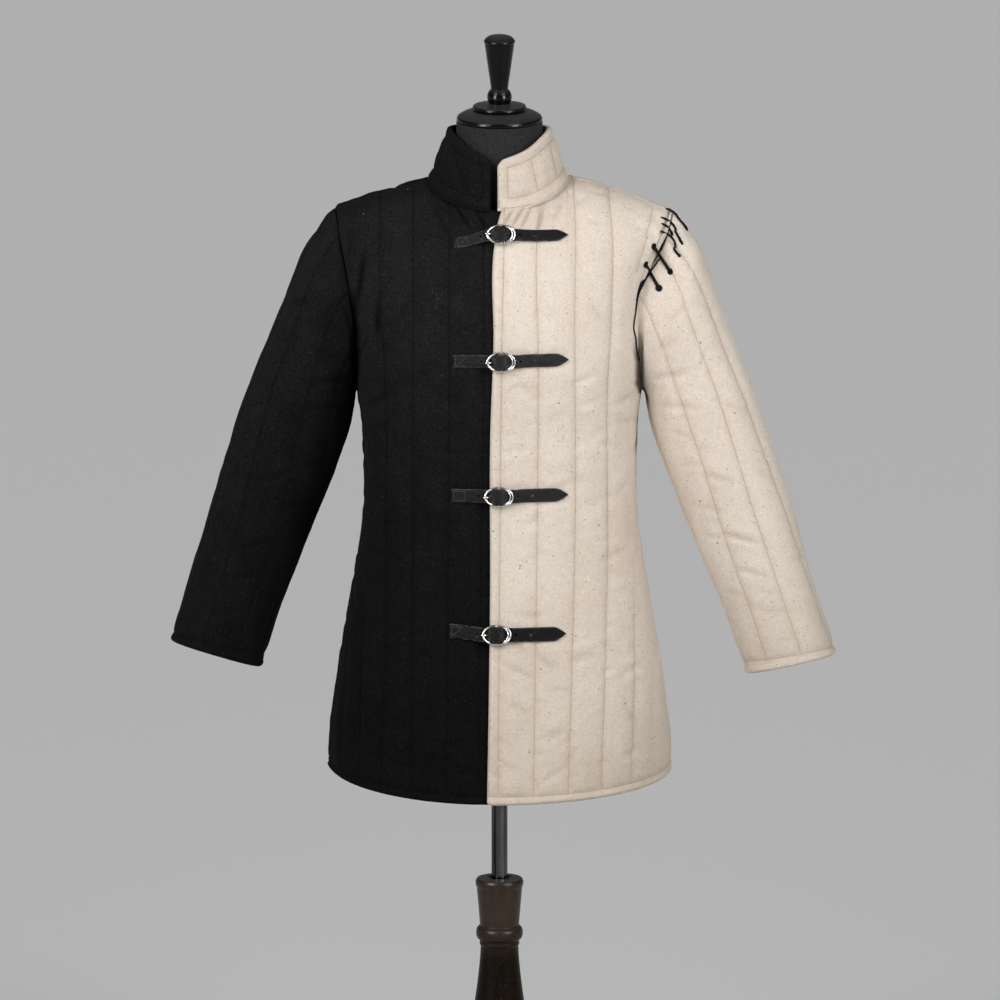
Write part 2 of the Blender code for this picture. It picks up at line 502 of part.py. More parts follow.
# ---------------------------------------------------------------- dress form and stand
FORM = dict(
    z=(FORM_BOTTOM, 0.790, 0.850, 0.910, 0.980, 1.060, 1.120, 1.186),
    half=(0.158, 0.168, 0.174, 0.171, 0.164, 0.160, 0.164, 0.172),
    front=(0.100, 0.110, 0.116, 0.112, 0.104, 0.100, 0.104, 0.112),
    back=(0.104, 0.116, 0.124, 0.116, 0.102, 0.090, 0.094, 0.102),
)
around = 24
phi = np.linspace(-np.pi, np.pi, around, endpoint=False)
rings = []
for z, shrink in ((FORM_BOTTOM, 0.93), (FORM_BOTTOM + 0.006, 0.985), (0.765, 1), (0.80, 1), (0.85, 1), (0.91, 1), (0.98, 1), (1.06, 1), (1.12, 1), (1.186, 1)):
    front = np.cos(phi) >= 0
    deep = np.where(front, along(FORM, "front", z), along(FORM, "back", z)) * shrink
    half = along(FORM, "half", z) * shrink
    r = (np.abs(np.sin(phi)) ** 2.4 + np.abs(np.cos(phi)) ** 2.4) ** (1 / 2.4)
    rings.append(np.stack([half * np.sin(phi) / r, -deep * np.cos(phi) / r, np.full(around, z)], -1))
for w in (0.18, 0.32, 0.45, 0.57, 0.68, 0.78, 0.87, 0.95):
    share = np.sin(0.5 * np.pi * w) ** 2
    front = np.cos(phi) >= 0
    deep = np.where(front, along(CHEST, "front", share, "share") - 0.020, along(CHEST, "back", share, "share") - 0.0135) * np.sqrt(1 - share ** 3)
    half = np.interp(share, (0, 0.3, 0.7, 1.0), (0.170, 0.1745, 0.1765, 0.1760))
    r = (np.abs(np.sin(phi)) ** 2.6 + np.abs(np.cos(phi)) ** 2.6) ** (1 / 2.6)
    x = half * np.sin(phi) / r
    z = ARMPIT + share * (np.minimum(along(SHOULDER[-1], "z", np.abs(x), "x"), along(SHOULDER[1], "z", np.abs(x), "x")) - 0.0150 - ARMPIT)
    rings.append(np.stack([x, -deep * np.cos(phi) / r, z], -1))
verts = np.concatenate(rings)
faces = []
for i in range(len(rings) - 1):
    for k in range(around):
        a, b = i * around + k, i * around + (k + 1) % around
        faces += [(a, b, b + around), (a, b + around, a + around)]
low, high = len(verts), len(verts) + 1
verts = np.concatenate([verts, [rings[0].mean(0)], [rings[-1].mean(0) * (0, 1, 0) + (0, 0, ARMPIT + 1.0 * (1.493 - 0.0150 - ARMPIT))]])
last = (len(rings) - 1) * around
for k in range(around):
    faces += [(low, (k + 1) % around, k), (high, last + k, last + (k + 1) % around)]
form = make("form_torso", verts, faces, (0.018, 0.018, 0.02), 0.9)
combine("UNION", form, turned("neck_tool", NECK, (0.018, 0.018, 0.02), 0.9))
turned("neck_cap", CAP, (0.01, 0.01, 0.01), 0.15, around=28)
turned("neck_disc", DISC, (0.01, 0.01, 0.01), 0.15, around=24)
turned("finial", FINIAL, (0.01, 0.01, 0.01), 0.15, around=18)
turned("pole", POLE, (0.06, 0.06, 0.065), 0.35, 1.0, around=24)
turned("post", POST, (0.035, 0.025, 0.02), 0.45, around=20)
turned("base", BASE, (0.035, 0.025, 0.02), 0.45, around=40)


# ---------------------------------------------------------------- fastenings
def on_front(x, z, off):
    """Point and normal above the body's front, at x and z."""
    x, z = np.broadcast_arrays(np.asarray(x, float), np.asarray(z, float))
    out, nor = np.empty(x.shape + (3,)), np.empty(x.shape + (3,))
    for k in np.ndindex(x.shape):
        v = float(height_v("front", z[k]))
        for _ in range(6):
            a = float(alpha_at(1, "front", np.array(x[k]), np.array(v)))
            p = body(1, "front", np.array(a), np.array(v))
            v += (z[k] - p[2]) / (0.55 if v < 1 else 0.35)
        out[k], nor[k] = p, body_normal(1, "front", np.array(a), np.array(v))
    return out + nor * np.asarray(off)[..., None], nor


LEATHER, STEEL = (0.012, 0.011, 0.011), (0.55, 0.55, 0.54)
for number, f in enumerate(FASTENINGS, 1):
    cx, z0 = f["x"], f["z"]
    v0 = float(height_v("front", z0))
    edge_x = float(front_edge(np.array(v0)))
    hump = 0.0153
    # the strap's height over the body surface, from its sewn end to its tip
    xs = [f["left"], f["left"] + 0.009, f["left"] + 0.018, cx - 0.035, cx - 0.0270, cx - 0.0205, cx - 0.0165, cx - 0.0135, cx - 0.0090, cx - 0.0050, cx - 0.0020, cx + 0.0022,
          cx + 0.0060, cx + 0.0095, cx + 0.0135, cx + 0.0170, cx + 0.0210, cx + 0.030, cx + 0.042, cx + 0.056, f["tip"] - 0.0135, f["tip"] - 0.0085, f["tip"] - 0.0035, f["tip"]]
    top_left = 0.0013 + STRAP_T / 2
    offs = [top_left, top_left, top_left, top_left + 0.0004, 0.0052, 0.0072, 0.0078, 0.0083, 0.0110, 0.0142, hump, hump, 0.0138, 0.0110, 0.0083, 0.0082, 0.0084]
    xs, offs = np.array(xs), np.array(offs + [0.0] * (24 - len(offs)))
    far = RAISE * (1 - ease(0, 0.07, xs - edge_x)) + 0.0013 + STRAP_T / 2
    offs[17:] = far[17:]
    offs[17] = far[17] + 0.0017
    zs = z0 - f["drop"] * (1 - ease(f["left"], cx - 0.012, xs))
    path, nor = on_front(xs, zs, offs)
    half = np.full(len(xs), STRAP_W / 2)
    half[0] *= 0.97
    half[-3:] = STRAP_W / 2 * np.array([0.86, 0.52, 0.14])
    strap = ribbon("strap_%d" % number, path, nor, half, STRAP_T, LEATHER)
    mid, mid_n = on_front(np.array(cx), np.array(z0), np.array(0.0))
    right = unit(np.cross(np.array([0, 0, 1.0]), mid_n)) * 1.0
    right = right if right[0] > 0 else -right
    rise = unit(np.cross(mid_n, right))
    rise = rise if rise[2] > 0 else -rise
    spot = lambda a, b, c: mid + right * a + rise * b + mid_n * c

    # holes for the prong and for the settings beside it
    for hx, hr in ((-0.0033, 0.0026), (0.026, 0.0014), (0.046, 0.0014), (-0.0270, 0.0014)):
        p, n = on_front(np.array(cx + hx), np.array(float(np.interp(cx + hx, xs, zs))), np.array(0.0))
        tool = tube("hole", np.array([p - n * 0.001, p + n * 0.024]), hr, LEATHER, sides=8, up=(0, 0, 1.0))
        combine("DIFFERENCE", strap, tool)

    # lens-shaped ring with a bar across its middle
    t = np.linspace(0, 2 * np.pi, 22, endpoint=False)
    lens = [spot(0.0187 * np.sign(np.cos(k)) * abs(np.cos(k)) ** 0.72, 0.0137 * np.sign(np.sin(k)) * abs(np.sin(k)) ** 0.80, 0.0120 - 0.0015 * np.sin(k) ** 2) for k in t]
    frame = tube("buckle_frame_%d" % number, lens, RING_R, STEEL, sides=6, loop=True, metal=1.0, rough=0.3, up=mid_n)
    bar = tube("bar", [spot(0, b, c) for b, c in ((-0.0137, 0.0114), (-0.0120, 0.0100), (-0.0105, 0.0095), (0, 0.0095), (0.0105, 0.0095), (0.0120, 0.0100), (0.0137, 0.0114))],
               BAR_R, STEEL, sides=6, metal=1.0, up=(1.0, 0, 0))
    combine("UNION", frame, bar)

    # prong: an eye round the bar and a needle that lies over the strap on to the ring
    eye = tube("prong_%d" % number, [spot(0.0029 * np.cos(k), 0, 0.0095 + 0.0029 * np.sin(k)) for k in np.linspace(0, 2 * np.pi, 11, endpoint=False)],
               PRONG_R, STEEL, sides=5, loop=True, metal=1.0, rough=0.3, up=rise)
    needle = tube("needle", [spot(*p) for p in ((-0.0015, 0, 0.0118), (-0.0029, 0, 0.0135), (-0.0038, 0, 0.0158), (-0.0052, 0, 0.0172), (-0.0080, 0, 0.0170), (-0.0120, 0, 0.0156), (-0.0165, 0, 0.0149), (-0.0205, 0, 0.0148))],
                  np.array([0.0009, 0.0009, 0.0009, 0.0010, 0.0011, 0.0011, 0.0010, 0.0006]), STEEL, sides=5, metal=1.0, up=rise)
    combine("UNION", eye, needle)

    # chape: sewn to the left front and folded round the bar
    turn = np.linspace(-0.5 * np.pi, -1.62 * np.pi, 9)
    loop_path = [(0.0026 * np.cos(k), 0.0095 + 0.0026 * np.sin(k)) for k in turn]
    flat = [(0.0285, 0.0), (0.020, 0.0), (0.012, 0.0), (0.006, 0.0)]
    cpath, cn = [], []
    for a, c in flat:
        level = float(RAISE * (1 - ease(0, 0.07, cx + a - edge_x))) + 0.0010 + 0.0007
        cpath.append(on_front(np.array(cx + a), np.array(z0), np.array(level))[0])
        cn.append(mid_n)
    for a, c in loop_path:
        cpath.append(spot(a, 0, c))
        cn.append(unit(right * a + mid_n * (c - 0.0095)) * -1.0)
    chape = ribbon("chape_%d" % number, cpath, np.array(cn), np.full(len(cpath), 0.0072), 0.0014, LEATHER)
    slot = make("slot", [spot(a, b, c) for a in (-0.008, 0.0075) for b in (-0.0017, 0.0017) for c in (0.0042, 0.020)],
                [(0, 1, 3, 2), (4, 6, 7, 5), (0, 4, 5, 1), (2, 3, 7, 6), (0, 2, 6, 4), (1, 5, 7, 3)], LEATHER)
    combine("DIFFERENCE", chape, slot)

# ---------------------------------------------------------------- lacing of the left sleeve
# each bar: row share and angle inside the body's edge of its body eyelet, then turn and run of its sleeve eyelet
BARS = dict(
    row=(0.700, 0.632, 0.772, 0.815, 0.856, 0.945),
    inset=(0.034, 0.038, 0.034, 0.036, 0.052, 0.036),
    turn=(1.070, 1.328, 0.787, 0.604, 0.604, 0.233),
    run=(0.052, 0.040, 0.063, 0.030, 0.0600, 0.062),
)
CORD = (0.014, 0.014, 0.015)


def on_body(row, inset, off):
    v = np.array(1.0 + row)
    a = alpha_arm(1, v) - inset
    n = body_normal(1, "front", a, v)
    return body(1, "front", a, v) + n * off, n


def on_sleeve(turn, run, off):
    t, r = np.array(float(turn)), np.array(float(max(run, 0.004)))
    n = sleeve_normal(1, t, r)
    return sleeve(1, t, r) + n * off, n


def eyelet(name, p, n):
    u = unit(np.cross(n, np.array([0.2, 0.1, 1.0])))
    w = np.cross(n, u)
    ring = [p + EYE_R * (u * np.cos(k) + w * np.sin(k)) for k in np.linspace(0, 2 * np.pi, 10, endpoint=False)]
    tube(name, ring, EYE_WIRE, CORD, sides=5, loop=True, up=n)


for k, (row, inset, turn, run) in enumerate(zip(*(BARS[c] for c in ("row", "inset", "turn", "run"))), 1):
    high = 0.0074
    b, nb = on_body(row, inset, 0.0)
    e, ne = on_sleeve(turn, run, 0.0)
    eyelet("eyelet_body_%d" % k, b + nb * 0.0021, nb)
    eyelet("eyelet_sleeve_%d" % k, e + ne * 0.0021, ne)
    seam_turn = np.pi * (1 - row)
    over = [on_body(row, inset * 0.3, high)[0], on_sleeve(seam_turn + 0.3 * (turn - seam_turn), 0.004, high)[0],
            on_sleeve(seam_turn + 0.7 * (turn - seam_turn), run * 0.45, high)[0]]
    to_over, from_over = unit(over[0] - b - nb * high), unit(over[-1] - e - ne * high)
    path = [b + nb * 0.0014, b + nb * 0.0048, b + nb * high + to_over * 0.0034, *over, e + ne * high + from_over * 0.0034, e + ne * 0.0048, e + ne * 0.0014]
    tube("lace_%d" % k, path, LACE_R, CORD, sides=6, up=(0.5, 0.3, 1.0))

rows = np.array((0.690, 0.655, 0.615, 0.575, 0.535, 0.500, 0.465, 0.430))
sink = np.array((-0.0022, -0.0018, -0.0008, 0.0010, 0.0030, 0.0038, 0.0042, 0.0042))
side_by = np.array((0.0105, 0.0085, 0.0062, 0.0042, 0.0022, 0.0012, 0.0012, 0.0012))
tube("lace_run", [on_body(r, -b / 0.2, o)[0] for r, o, b in zip(rows, sink, side_by)], LACE_R, CORD, sides=6, up=(1.0, 0.2, 0.1))
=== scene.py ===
"""Looks of a two-colour quilted gambeson on a limbless dress form. Metres, +Z up, the front faces -Y."""
import math
import bpy
import numpy as np
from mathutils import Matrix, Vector


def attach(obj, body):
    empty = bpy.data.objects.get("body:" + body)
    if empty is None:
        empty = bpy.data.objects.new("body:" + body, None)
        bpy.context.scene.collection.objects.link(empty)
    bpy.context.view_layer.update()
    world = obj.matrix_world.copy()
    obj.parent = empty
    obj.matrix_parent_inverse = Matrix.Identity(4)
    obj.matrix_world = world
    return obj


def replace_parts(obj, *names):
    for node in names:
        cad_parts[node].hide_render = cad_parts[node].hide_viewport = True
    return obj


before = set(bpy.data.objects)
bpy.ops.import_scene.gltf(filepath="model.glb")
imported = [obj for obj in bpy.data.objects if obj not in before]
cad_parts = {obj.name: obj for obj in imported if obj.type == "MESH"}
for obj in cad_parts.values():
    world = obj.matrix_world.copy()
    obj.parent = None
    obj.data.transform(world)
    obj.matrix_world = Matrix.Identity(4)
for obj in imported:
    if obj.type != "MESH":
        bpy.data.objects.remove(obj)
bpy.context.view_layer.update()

# ---------------------------------------------------------------- camera
camera_data = bpy.data.cameras.new("camera")
camera_data.lens, camera_data.sensor_width = 1588.0, 36.0
camera_data.clip_start, camera_data.clip_end = 1.0, 600.0
camera = bpy.data.objects.new("camera", camera_data)
bpy.context.scene.collection.objects.link(camera)
back = Vector((0.0, -math.cos(math.radians(12)), math.sin(math.radians(12))))
camera.location = Vector((-0.0007, 0.0, 1.033)) + back * 60.0
camera.rotation_euler = (-back).to_track_quat("-Z", "Y").to_euler()
bpy.context.scene.camera = camera

# ---------------------------------------------------------------- sizes, the same as the solids'
WALL, SLEEVE_WALL, NECK_ROWS, HEAD_THIN, SEAM = 0.007, 0.006, 0.54, 0.003, 0.00015
OVERLAP, RAISE, UNDER = 0.034, 0.0045, 0.0082
ARMPIT, VENT, VENT_GAP = 1.186, 0.800, 0.012
HEM_SIDE, HEM_FRONT, HEM_BACK, HEM_LEFT = 0.660, 0.6445, 0.650, 0.0050
NECK_X, NECK_HALF, NECK_FRONT, NECK_BACK, NECK_ROUND = -0.003, 0.094, 0.083, 0.066, 2.35
COLLAR_HALF, COLLAR_FRONT, COLLAR_BACK = {-1: 0.0690, 1: 0.0718}, 0.078, 0.064
STRAP_W, STRAP_T, RING_R, BAR_R, PRONG_R = 0.0186, 0.0026, 0.0016, 0.0015, 0.0010
LACE_R, EYE_R, EYE_WIRE, FORM_BOTTOM = 0.0018, 0.0036, 0.0010, 0.740
BODY = dict(
    z=(0.640, 0.700, 0.755, 0.810, 0.866, 0.922, 0.977, 1.033, 1.075, 1.116, 1.150, 1.186),
    half=(0.2350, 0.2312, 0.2251, 0.2170, 0.2074, 0.1979, 0.1884, 0.1836, 0.1828, 0.1845, 0.1875, 0.1930),
    front=(0.172, 0.166, 0.159, 0.151, 0.143, 0.135, 0.128, 0.124, 0.123, 0.125, 0.128, 0.133),
    back=(0.170, 0.166, 0.162, 0.156, 0.147, 0.134, 0.120, 0.110, 0.107, 0.109, 0.113, 0.118),
    square=(2.25, 2.28, 2.30, 2.32, 2.35, 2.38, 2.40, 2.42, 2.45, 2.50, 2.55, 2.60),
)
CHEST = dict(share=(0.0, 0.15, 0.30, 0.60, 1.0), front=(0.133, 0.138, 0.141, 0.143, 0.143), back=(0.118, 0.123, 0.126, 0.128, 0.127))
SHOULDER = {
    -1: dict(x=(0.0, 0.05, 0.094, 0.122, 0.160, 0.200, 0.228, 0.28), z=(1.493, 1.4895, 1.4795, 1.4725, 1.4605, 1.4480, 1.4375, 1.412)),
    1: dict(x=(0.0, 0.05, 0.094, 0.122, 0.160, 0.200, 0.228, 0.28), z=(1.493, 1.4895, 1.4810, 1.4750, 1.4640, 1.4495, 1.4375, 1.412)),
}
ARMHOLE = {
    -1: dict(share=(0.0, 0.2, 0.44, 0.58, 0.70, 0.85, 1.0), x=(0.1930, 0.1965, 0.2006, 0.2045, 0.2100, 0.2175, 0.2250)),
    1: dict(share=(0.0, 0.2, 0.40, 0.52, 0.60, 0.70, 0.78, 0.85, 0.93, 1.0), x=(0.1900, 0.1882, 0.1868, 0.1875, 0.1900, 0.1980, 0.2070, 0.2150, 0.2230, 0.2290)),
}
ARM_DEPTH, ARM_ROUND = 0.50, 0.35
EDGE = dict(z=(0.640, 0.790, 0.930, 1.150, 1.280, 1.410, 1.440, 1.4575), x=(-0.0186, -0.0160, -0.0143, -0.0140, -0.0096, -0.0084, -0.0030, 0.0034))
SLEEVE = dict(
    run=(0.0, 0.04, 0.08, 0.13, 0.19, 0.25, 0.31, 0.37, 0.43, 0.50, 0.57, 0.64, 0.71, 0.78, 0.85, 0.92, 1.0),
    outer_x=(0.2225, 0.2400, 0.2510, 0.2655, 0.2785, 0.2945, 0.3115, 0.3285, 0.3420, 0.3560, 0.3700, 0.3828, 0.3952, 0.4072, 0.4190, 0.4318, 0.4490),
    outer_z=(1.4380, 1.4240, 1.4090, 1.3870, 1.3580, 1.3150, 1.2700, 1.2276, 1.1900, 1.1480, 1.1040, 1.0608, 1.0190, 0.9774, 0.9370, 0.8940, 0.8412),
    inner_x=(0.1930, 0.1952, 0.1968, 0.1980, 0.1988, 0.1994, 0.2000, 0.2012, 0.2045, 0.2140, 0.2270, 0.2400, 0.2530, 0.2660, 0.2800, 0.2990, 0.3260),
    inner_z=(1.1860, 1.1849, 1.1833, 1.1810, 1.1780, 1.1738, 1.1680, 1.1600, 1.1430, 1.1120, 1.0760, 1.0430, 1.0100, 0.9760, 0.9400, 0.8900, 0.8040),
    depth=(0.0660, 0.0670, 0.0680, 0.0690, 0.0690, 0.0685, 0.0680, 0.0675, 0.0670, 0.0660, 0.0650, 0.0640, 0.0630, 0.0620, 0.0610, 0.0600, 0.0590),
    y=(0.0, 0.0, 0.0, -0.0005, -0.001, -0.002, -0.003, -0.004, -0.005, -0.006, -0.007, -0.008, -0.009, -0.010, -0.011, -0.012, -0.013),
)
SLEEVE_OWN = {
    -1: dict(run=(0.0, 0.04, 0.13, 0.30, 0.45, 0.70, 0.85, 1.0), ox=(0, -0.0035, -0.0042, -0.0018, 0, 0, 0, 0), oz=(0, -0.0020, -0.0012, 0, 0, 0, 0, 0), ix=(0,) * 8, iz=(0,) * 8),
    1: dict(run=(0.0, 0.04, 0.13, 0.30, 0.45, 0.70, 0.85, 1.0), ox=(0, -0.0018, -0.0014, 0, 0, 0.0024, 0.0048, 0.0068), oz=(0, -0.0010, 0, 0, 0, -0.0080, -0.0140, -0.0190),
            ix=(0, 0, 0, 0, 0, 0.0012, 0.0045, 0.0095), iz=(0, 0, 0, 0, 0, -0.0040, -0.0070, -0.0095)),
}
CUFF_RISE = 0.008
ARM_FADE = 0.28
LACED = dict(share=(0.0, 0.36, 0.46, 0.54, 0.62, 0.70, 0.78, 0.86, 0.93, 1.0), front=(0.0010, 0.0012, 0.0020, 0.0045, 0.0110, 0.0175, 0.0200, 0.0165, 0.0105, 0.0070),
             back=(0.0005, 0.0005, 0.0005, 0.0005, 0.0005, 0.0005, 0.0008, 0.0020, 0.0045, 0.0070))
FASTENINGS = (
    dict(z=1.4207, x=0.0003, left=-0.0625, tip=0.0910, drop=0.0085),
    dict(z=1.2560, x=0.0008, left=-0.0640, tip=0.0918, drop=0.0010),
    dict(z=1.0655, x=-0.0022, left=-0.0660, tip=0.0911, drop=0.0010),
    dict(z=0.8760, x=-0.0052, left=-0.0690, tip=0.0883, drop=-0.0040),
)
STAND_X, STAND_Y = -0.0014, -0.004


# ---------------------------------------------------------------- curves and surfaces of the garment
def along(table, key, at, axis="z"):
    x, y = np.asarray(table[axis], float), np.asarray(table[key], float)
    d = np.diff(y) / np.diff(x)
    m = np.empty_like(y)
    m[0], m[-1] = d[0], d[-1]
    h = np.diff(x)
    m[1:-1] = (d[:-1] * h[1:] + d[1:] * h[:-1]) / (h[1:] + h[:-1])
    at = np.clip(np.asarray(at, float), x[0], x[-1])
    i = np.clip(np.searchsorted(x, at, side="right") - 1, 0, len(x) - 2)
    t = (at - x[i]) / h[i]
    return ((1 + 2 * t) * (1 - t) ** 2 * y[i] + t * (1 - t) ** 2 * h[i] * m[i] + t * t * (3 - 2 * t) * y[i + 1] + t * t * (t - 1) * h[i] * m[i + 1])


def ease(low, high, x):
    t = np.clip((np.asarray(x, float) - low) / (high - low), 0, 1)
    return t * t * (3 - 2 * t)


def unit(v):
    return v / np.maximum(np.linalg.norm(v, axis=-1, keepdims=True), 1e-12)


def share_of(v):
    return np.sin(0.5 * np.pi * np.clip(v - 1, 0, 1)) ** 2


def arm_depth(share):
    return ARM_DEPTH * np.sqrt(np.clip(1 - (1 - np.minimum(share / ARM_ROUND, 1)) ** 2, 0, 1))


def section(side, face, v):
    share, low = share_of(v), np.minimum(v, 1)
    z = HEM_SIDE + low * (ARMPIT - HEM_SIDE)
    n = along(BODY, "square", z)
    half = along(BODY, "half", z)
    deep = along(BODY, face, z)
    arm = along(ARMHOLE[side], "x", share, "share")
    wide = arm / (1 - arm_depth(share) ** n) ** (1 / n)
    blend = ease(0.72, 1.0, v)
    half = np.where(v > 1, wide, half + (ARMHOLE[side]["x"][0] - BODY["half"][-1]) * blend)
    deep = np.where(v > 1, along(CHEST, face, share, "share") * np.sqrt(np.clip(1 - share ** 3, 0, 1)), deep)
    return half, deep, n


def body(side, face, alpha, v):
    half, deep, n = section(side, face, v)
    s, c = np.sin(alpha), np.cos(alpha)
    r = (np.abs(s) ** n + np.abs(c) ** n) ** (1 / n)
    x, y = half * s / r, deep * c / r
    hem = HEM_SIDE + ((HEM_FRONT if face == "front" else HEM_BACK) - HEM_SIDE) * np.cos(alpha) ** 2 + (HEM_LEFT * np.sin(alpha) ** 4 if side < 0 else 0.0)
    low = hem + np.minimum(v, 1) * (ARMPIT - hem)
    z = np.where(v > 1, ARMPIT + share_of(v) * (along(SHOULDER[side], "z", np.abs(x), "x") - ARMPIT), low)
    return np.stack(np.broadcast_arrays(side * x, -y if face == "front" else y, z), -1)


def body_normal(side, face, alpha, v):
    e = 2e-4
    da = body(side, face, alpha + e, v) - body(side, face, alpha - e, v)
    up = np.where(v > 1, np.minimum(v, 2 - 2 * e), v)
    dv = body(side, face, alpha, up + e) - body(side, face, alpha, up - e)
    n = unit(np.cross(da, dv))
    return n * (side if face == "front" else -side)


def alpha_at(side, face, x, v):
    half, _, n = section(side, face, v)
    q = np.clip(x / half, -0.999, 0.999)
    return np.arctan2(q, (1 - np.abs(q) ** n) ** (1 / n))


def alpha_arm(side, v):
    share = share_of(v)
    _, _, n = section(side, "front", v)
    d = arm_depth(share)
    return np.where(v > 1, np.arctan2((1 - d ** n) ** (1 / n), d), np.pi / 2)


def height_v(face, z, alpha=0.0):
    hem = HEM_SIDE + ((HEM_FRONT if face == "front" else HEM_BACK) - HEM_SIDE) * np.cos(alpha) ** 2
    share = np.clip((z - ARMPIT) / (1.492 - ARMPIT), 0, 1)
    return np.where(z > ARMPIT, 1 + np.arcsin(np.sqrt(share)) * 2 / np.pi, (z - hem) / (ARMPIT - hem))


def middle_z(v):
    return np.where(v > 1, ARMPIT + share_of(v) * (1.492 - ARMPIT), HEM_FRONT + v * (ARMPIT - HEM_FRONT))


def front_edge(v):
    return along(EDGE, "x", middle_z(v))


def neck_v(side, face, x):
    reach = NECK_FRONT if face == "front" else NECK_BACK
    off = np.clip(np.abs(x - side * NECK_X) / NECK_HALF, 0, 1)
    y = reach * (1 - off ** NECK_ROUND) ** (1 / NECK_ROUND)
    share = 0.9 * np.ones_like(off)
    for _ in range(12):
        v = 1 + np.arcsin(np.sqrt(share)) * 2 / np.pi
        half, _, n = section(side, face, v)
        full = along(CHEST, face, share, "share") * (1 - np.clip(np.abs(x) / half, 0, 0.99) ** n) ** (1 / n)
        share = np.clip(1 - (y / full) ** 2, 0, 1) ** (1 / 3)
    return 1 + np.arcsin(np.sqrt(share)) * 2 / np.pi


def vent(side, v):
    z = HEM_SIDE + np.minimum(v, 1) * (ARMPIT - HEM_SIDE)
    return VENT_GAP * np.clip((VENT - z) / (VENT - HEM_SIDE), 0, 1) ** 0.8 / 0.17


def lift(side, face, x, v):
    if face == "back":
        return np.zeros_like(x)
    d = side * x - front_edge(v) if side > 0 else -x - front_edge(v)
    raised = RAISE * (1 - ease(0, 0.07, d))
    if side > 0:
        return raised
    return np.where(d > 0, raised - UNDER, (RAISE - UNDER) * ease(-0.026, 0, d))


def armhole(side, theta):
    share = np.cos(theta / 2) ** 2
    v = 1 + np.arcsin(np.sqrt(share)) * 2 / np.pi
    a = alpha_arm(side, v)
    front = (theta % (2 * np.pi)) <= np.pi
    f, b = body(side, "front", a, v), body(side, "back", a, v)
    fn, bn = body_normal(side, "front", a, v), body_normal(side, "back", a, v)
    return np.where(front[..., None], f, b), np.where(front[..., None], fn, bn), share, front


def sleeve(side, theta, run):
    own = SLEEVE_OWN[side]
    o = np.stack([along(SLEEVE, "outer_x", run, "run") + along(own, "ox", run, "run"), along(SLEEVE, "outer_z", run, "run") + along(own, "oz", run, "run")], -1)
    i = np.stack([along(SLEEVE, "inner_x", run, "run") + along(own, "ix", run, "run"), along(SLEEVE, "inner_z", run, "run") + along(own, "iz", run, "run")], -1)
    mid, arm = (o + i) / 2, (o - i) / 2
    c, s = np.cos(theta), np.sin(theta)
    n = 2.3
    r = (np.abs(s) ** n + np.abs(c) ** n) ** (1 / n)
    c, s = c / r, s / r
    x = mid[..., 0] + c * arm[..., 0]
    z = mid[..., 1] + c * arm[..., 1] + CUFF_RISE * s * np.clip((run - 0.5) / 0.5, 0, 1) ** 2
    y = along(SLEEVE, "y", run, "run") - s * along(SLEEVE, "depth", run, "run")
    p = np.stack(np.broadcast_arrays(side * x, y, z), -1)
    hole, hole_n, share, front = armhole(side, theta)
    gap = np.where(front, along(LACED, "front", share, "share"), along(LACED, "back", share, "share")) if side > 0 else 0.0005
    along_hole = armhole(side, theta + 1e-3)[0] - armhole(side, theta - 1e-3)[0]
    away = unit(np.cross(hole_n, along_hole))
    inward = np.stack(np.broadcast_arrays(0.6 * side, -hole[..., 1], 1.31 - hole[..., 2]), -1)
    away = away * np.sign((away * inward).sum(-1, keepdims=True))
    hole = hole + away * (gap + 0 * share)[..., None]
    c, s = np.cos(theta), np.sin(theta)
    r = (np.abs(s) ** 2.3 + np.abs(c) ** 2.3) ** (1 / 2.3)
    o = np.array([SLEEVE["outer_x"][0], SLEEVE["outer_z"][0]])
    i = np.array([SLEEVE["inner_x"][0], SLEEVE["inner_z"][0]])
    m, a = (o + i) / 2, (o - i) / 2
    first = np.stack([side * (m[0] + c / r * a[0]), -s / r * SLEEVE["depth"][0], m[1] + c / r * a[1]], -1)
    fade = np.clip(1 - run / ARM_FADE, 0, 1) ** 2
    return p + (hole - first) * fade[..., None]


def sleeve_normal(side, theta, run):
    e = 3e-4
    dt = sleeve(side, theta + e, run) - sleeve(side, theta - e, run)
    dr = sleeve(side, theta, np.minimum(run + e, 1)) - sleeve(side, theta, np.maximum(run - e, 0))
    return unit(np.cross(dt, dr)) * side


def collar(side, beta, q):
    sb, cb = np.sin(beta), np.cos(beta)
    base_x = NECK_HALF * sb
    face_front = cb >= 0
    out = {}
    for face in ("front", "back"):
        v = np.minimum(neck_v(side, face, np.abs(base_x) + side * NECK_X), 2)
        a = alpha_at(side, face, base_x + side * NECK_X, v)
        out[face] = body(side, face, a, v)
    base = np.where(face_front[..., None], out["front"], out["back"])
    t = np.abs(beta)
    top = dict(t=(0, 0.6, 1.0, 1.4, 1.6, 2.2, 3.15), z=(1.5180, 1.5315, 1.5435, 1.5497, 1.5502, 1.5475, 1.5420))
    tip = np.stack([side * COLLAR_HALF[side] * sb + NECK_X, -np.where(face_front, COLLAR_FRONT, COLLAR_BACK) * cb, along(top, "z", t, "t")], -1)
    q = np.asarray(q, float)[..., None]
    out_dir = np.stack([side * sb, -cb, 0 * sb], -1)
    return base + (tip - base) * q + out_dir * (0.0020 * np.sin(np.pi * q) - 0.0045 * q * (1 - q) ** 2)


def collar_normal(side, beta, q):
    e = 1e-3
    db = collar(side, beta + e, q) - collar(side, beta - e, q)
    dq = collar(side, beta, np.minimum(q + e, 1)) - collar(side, beta, np.maximum(q - e, 0))
    return unit(np.cross(db, dq)) * side


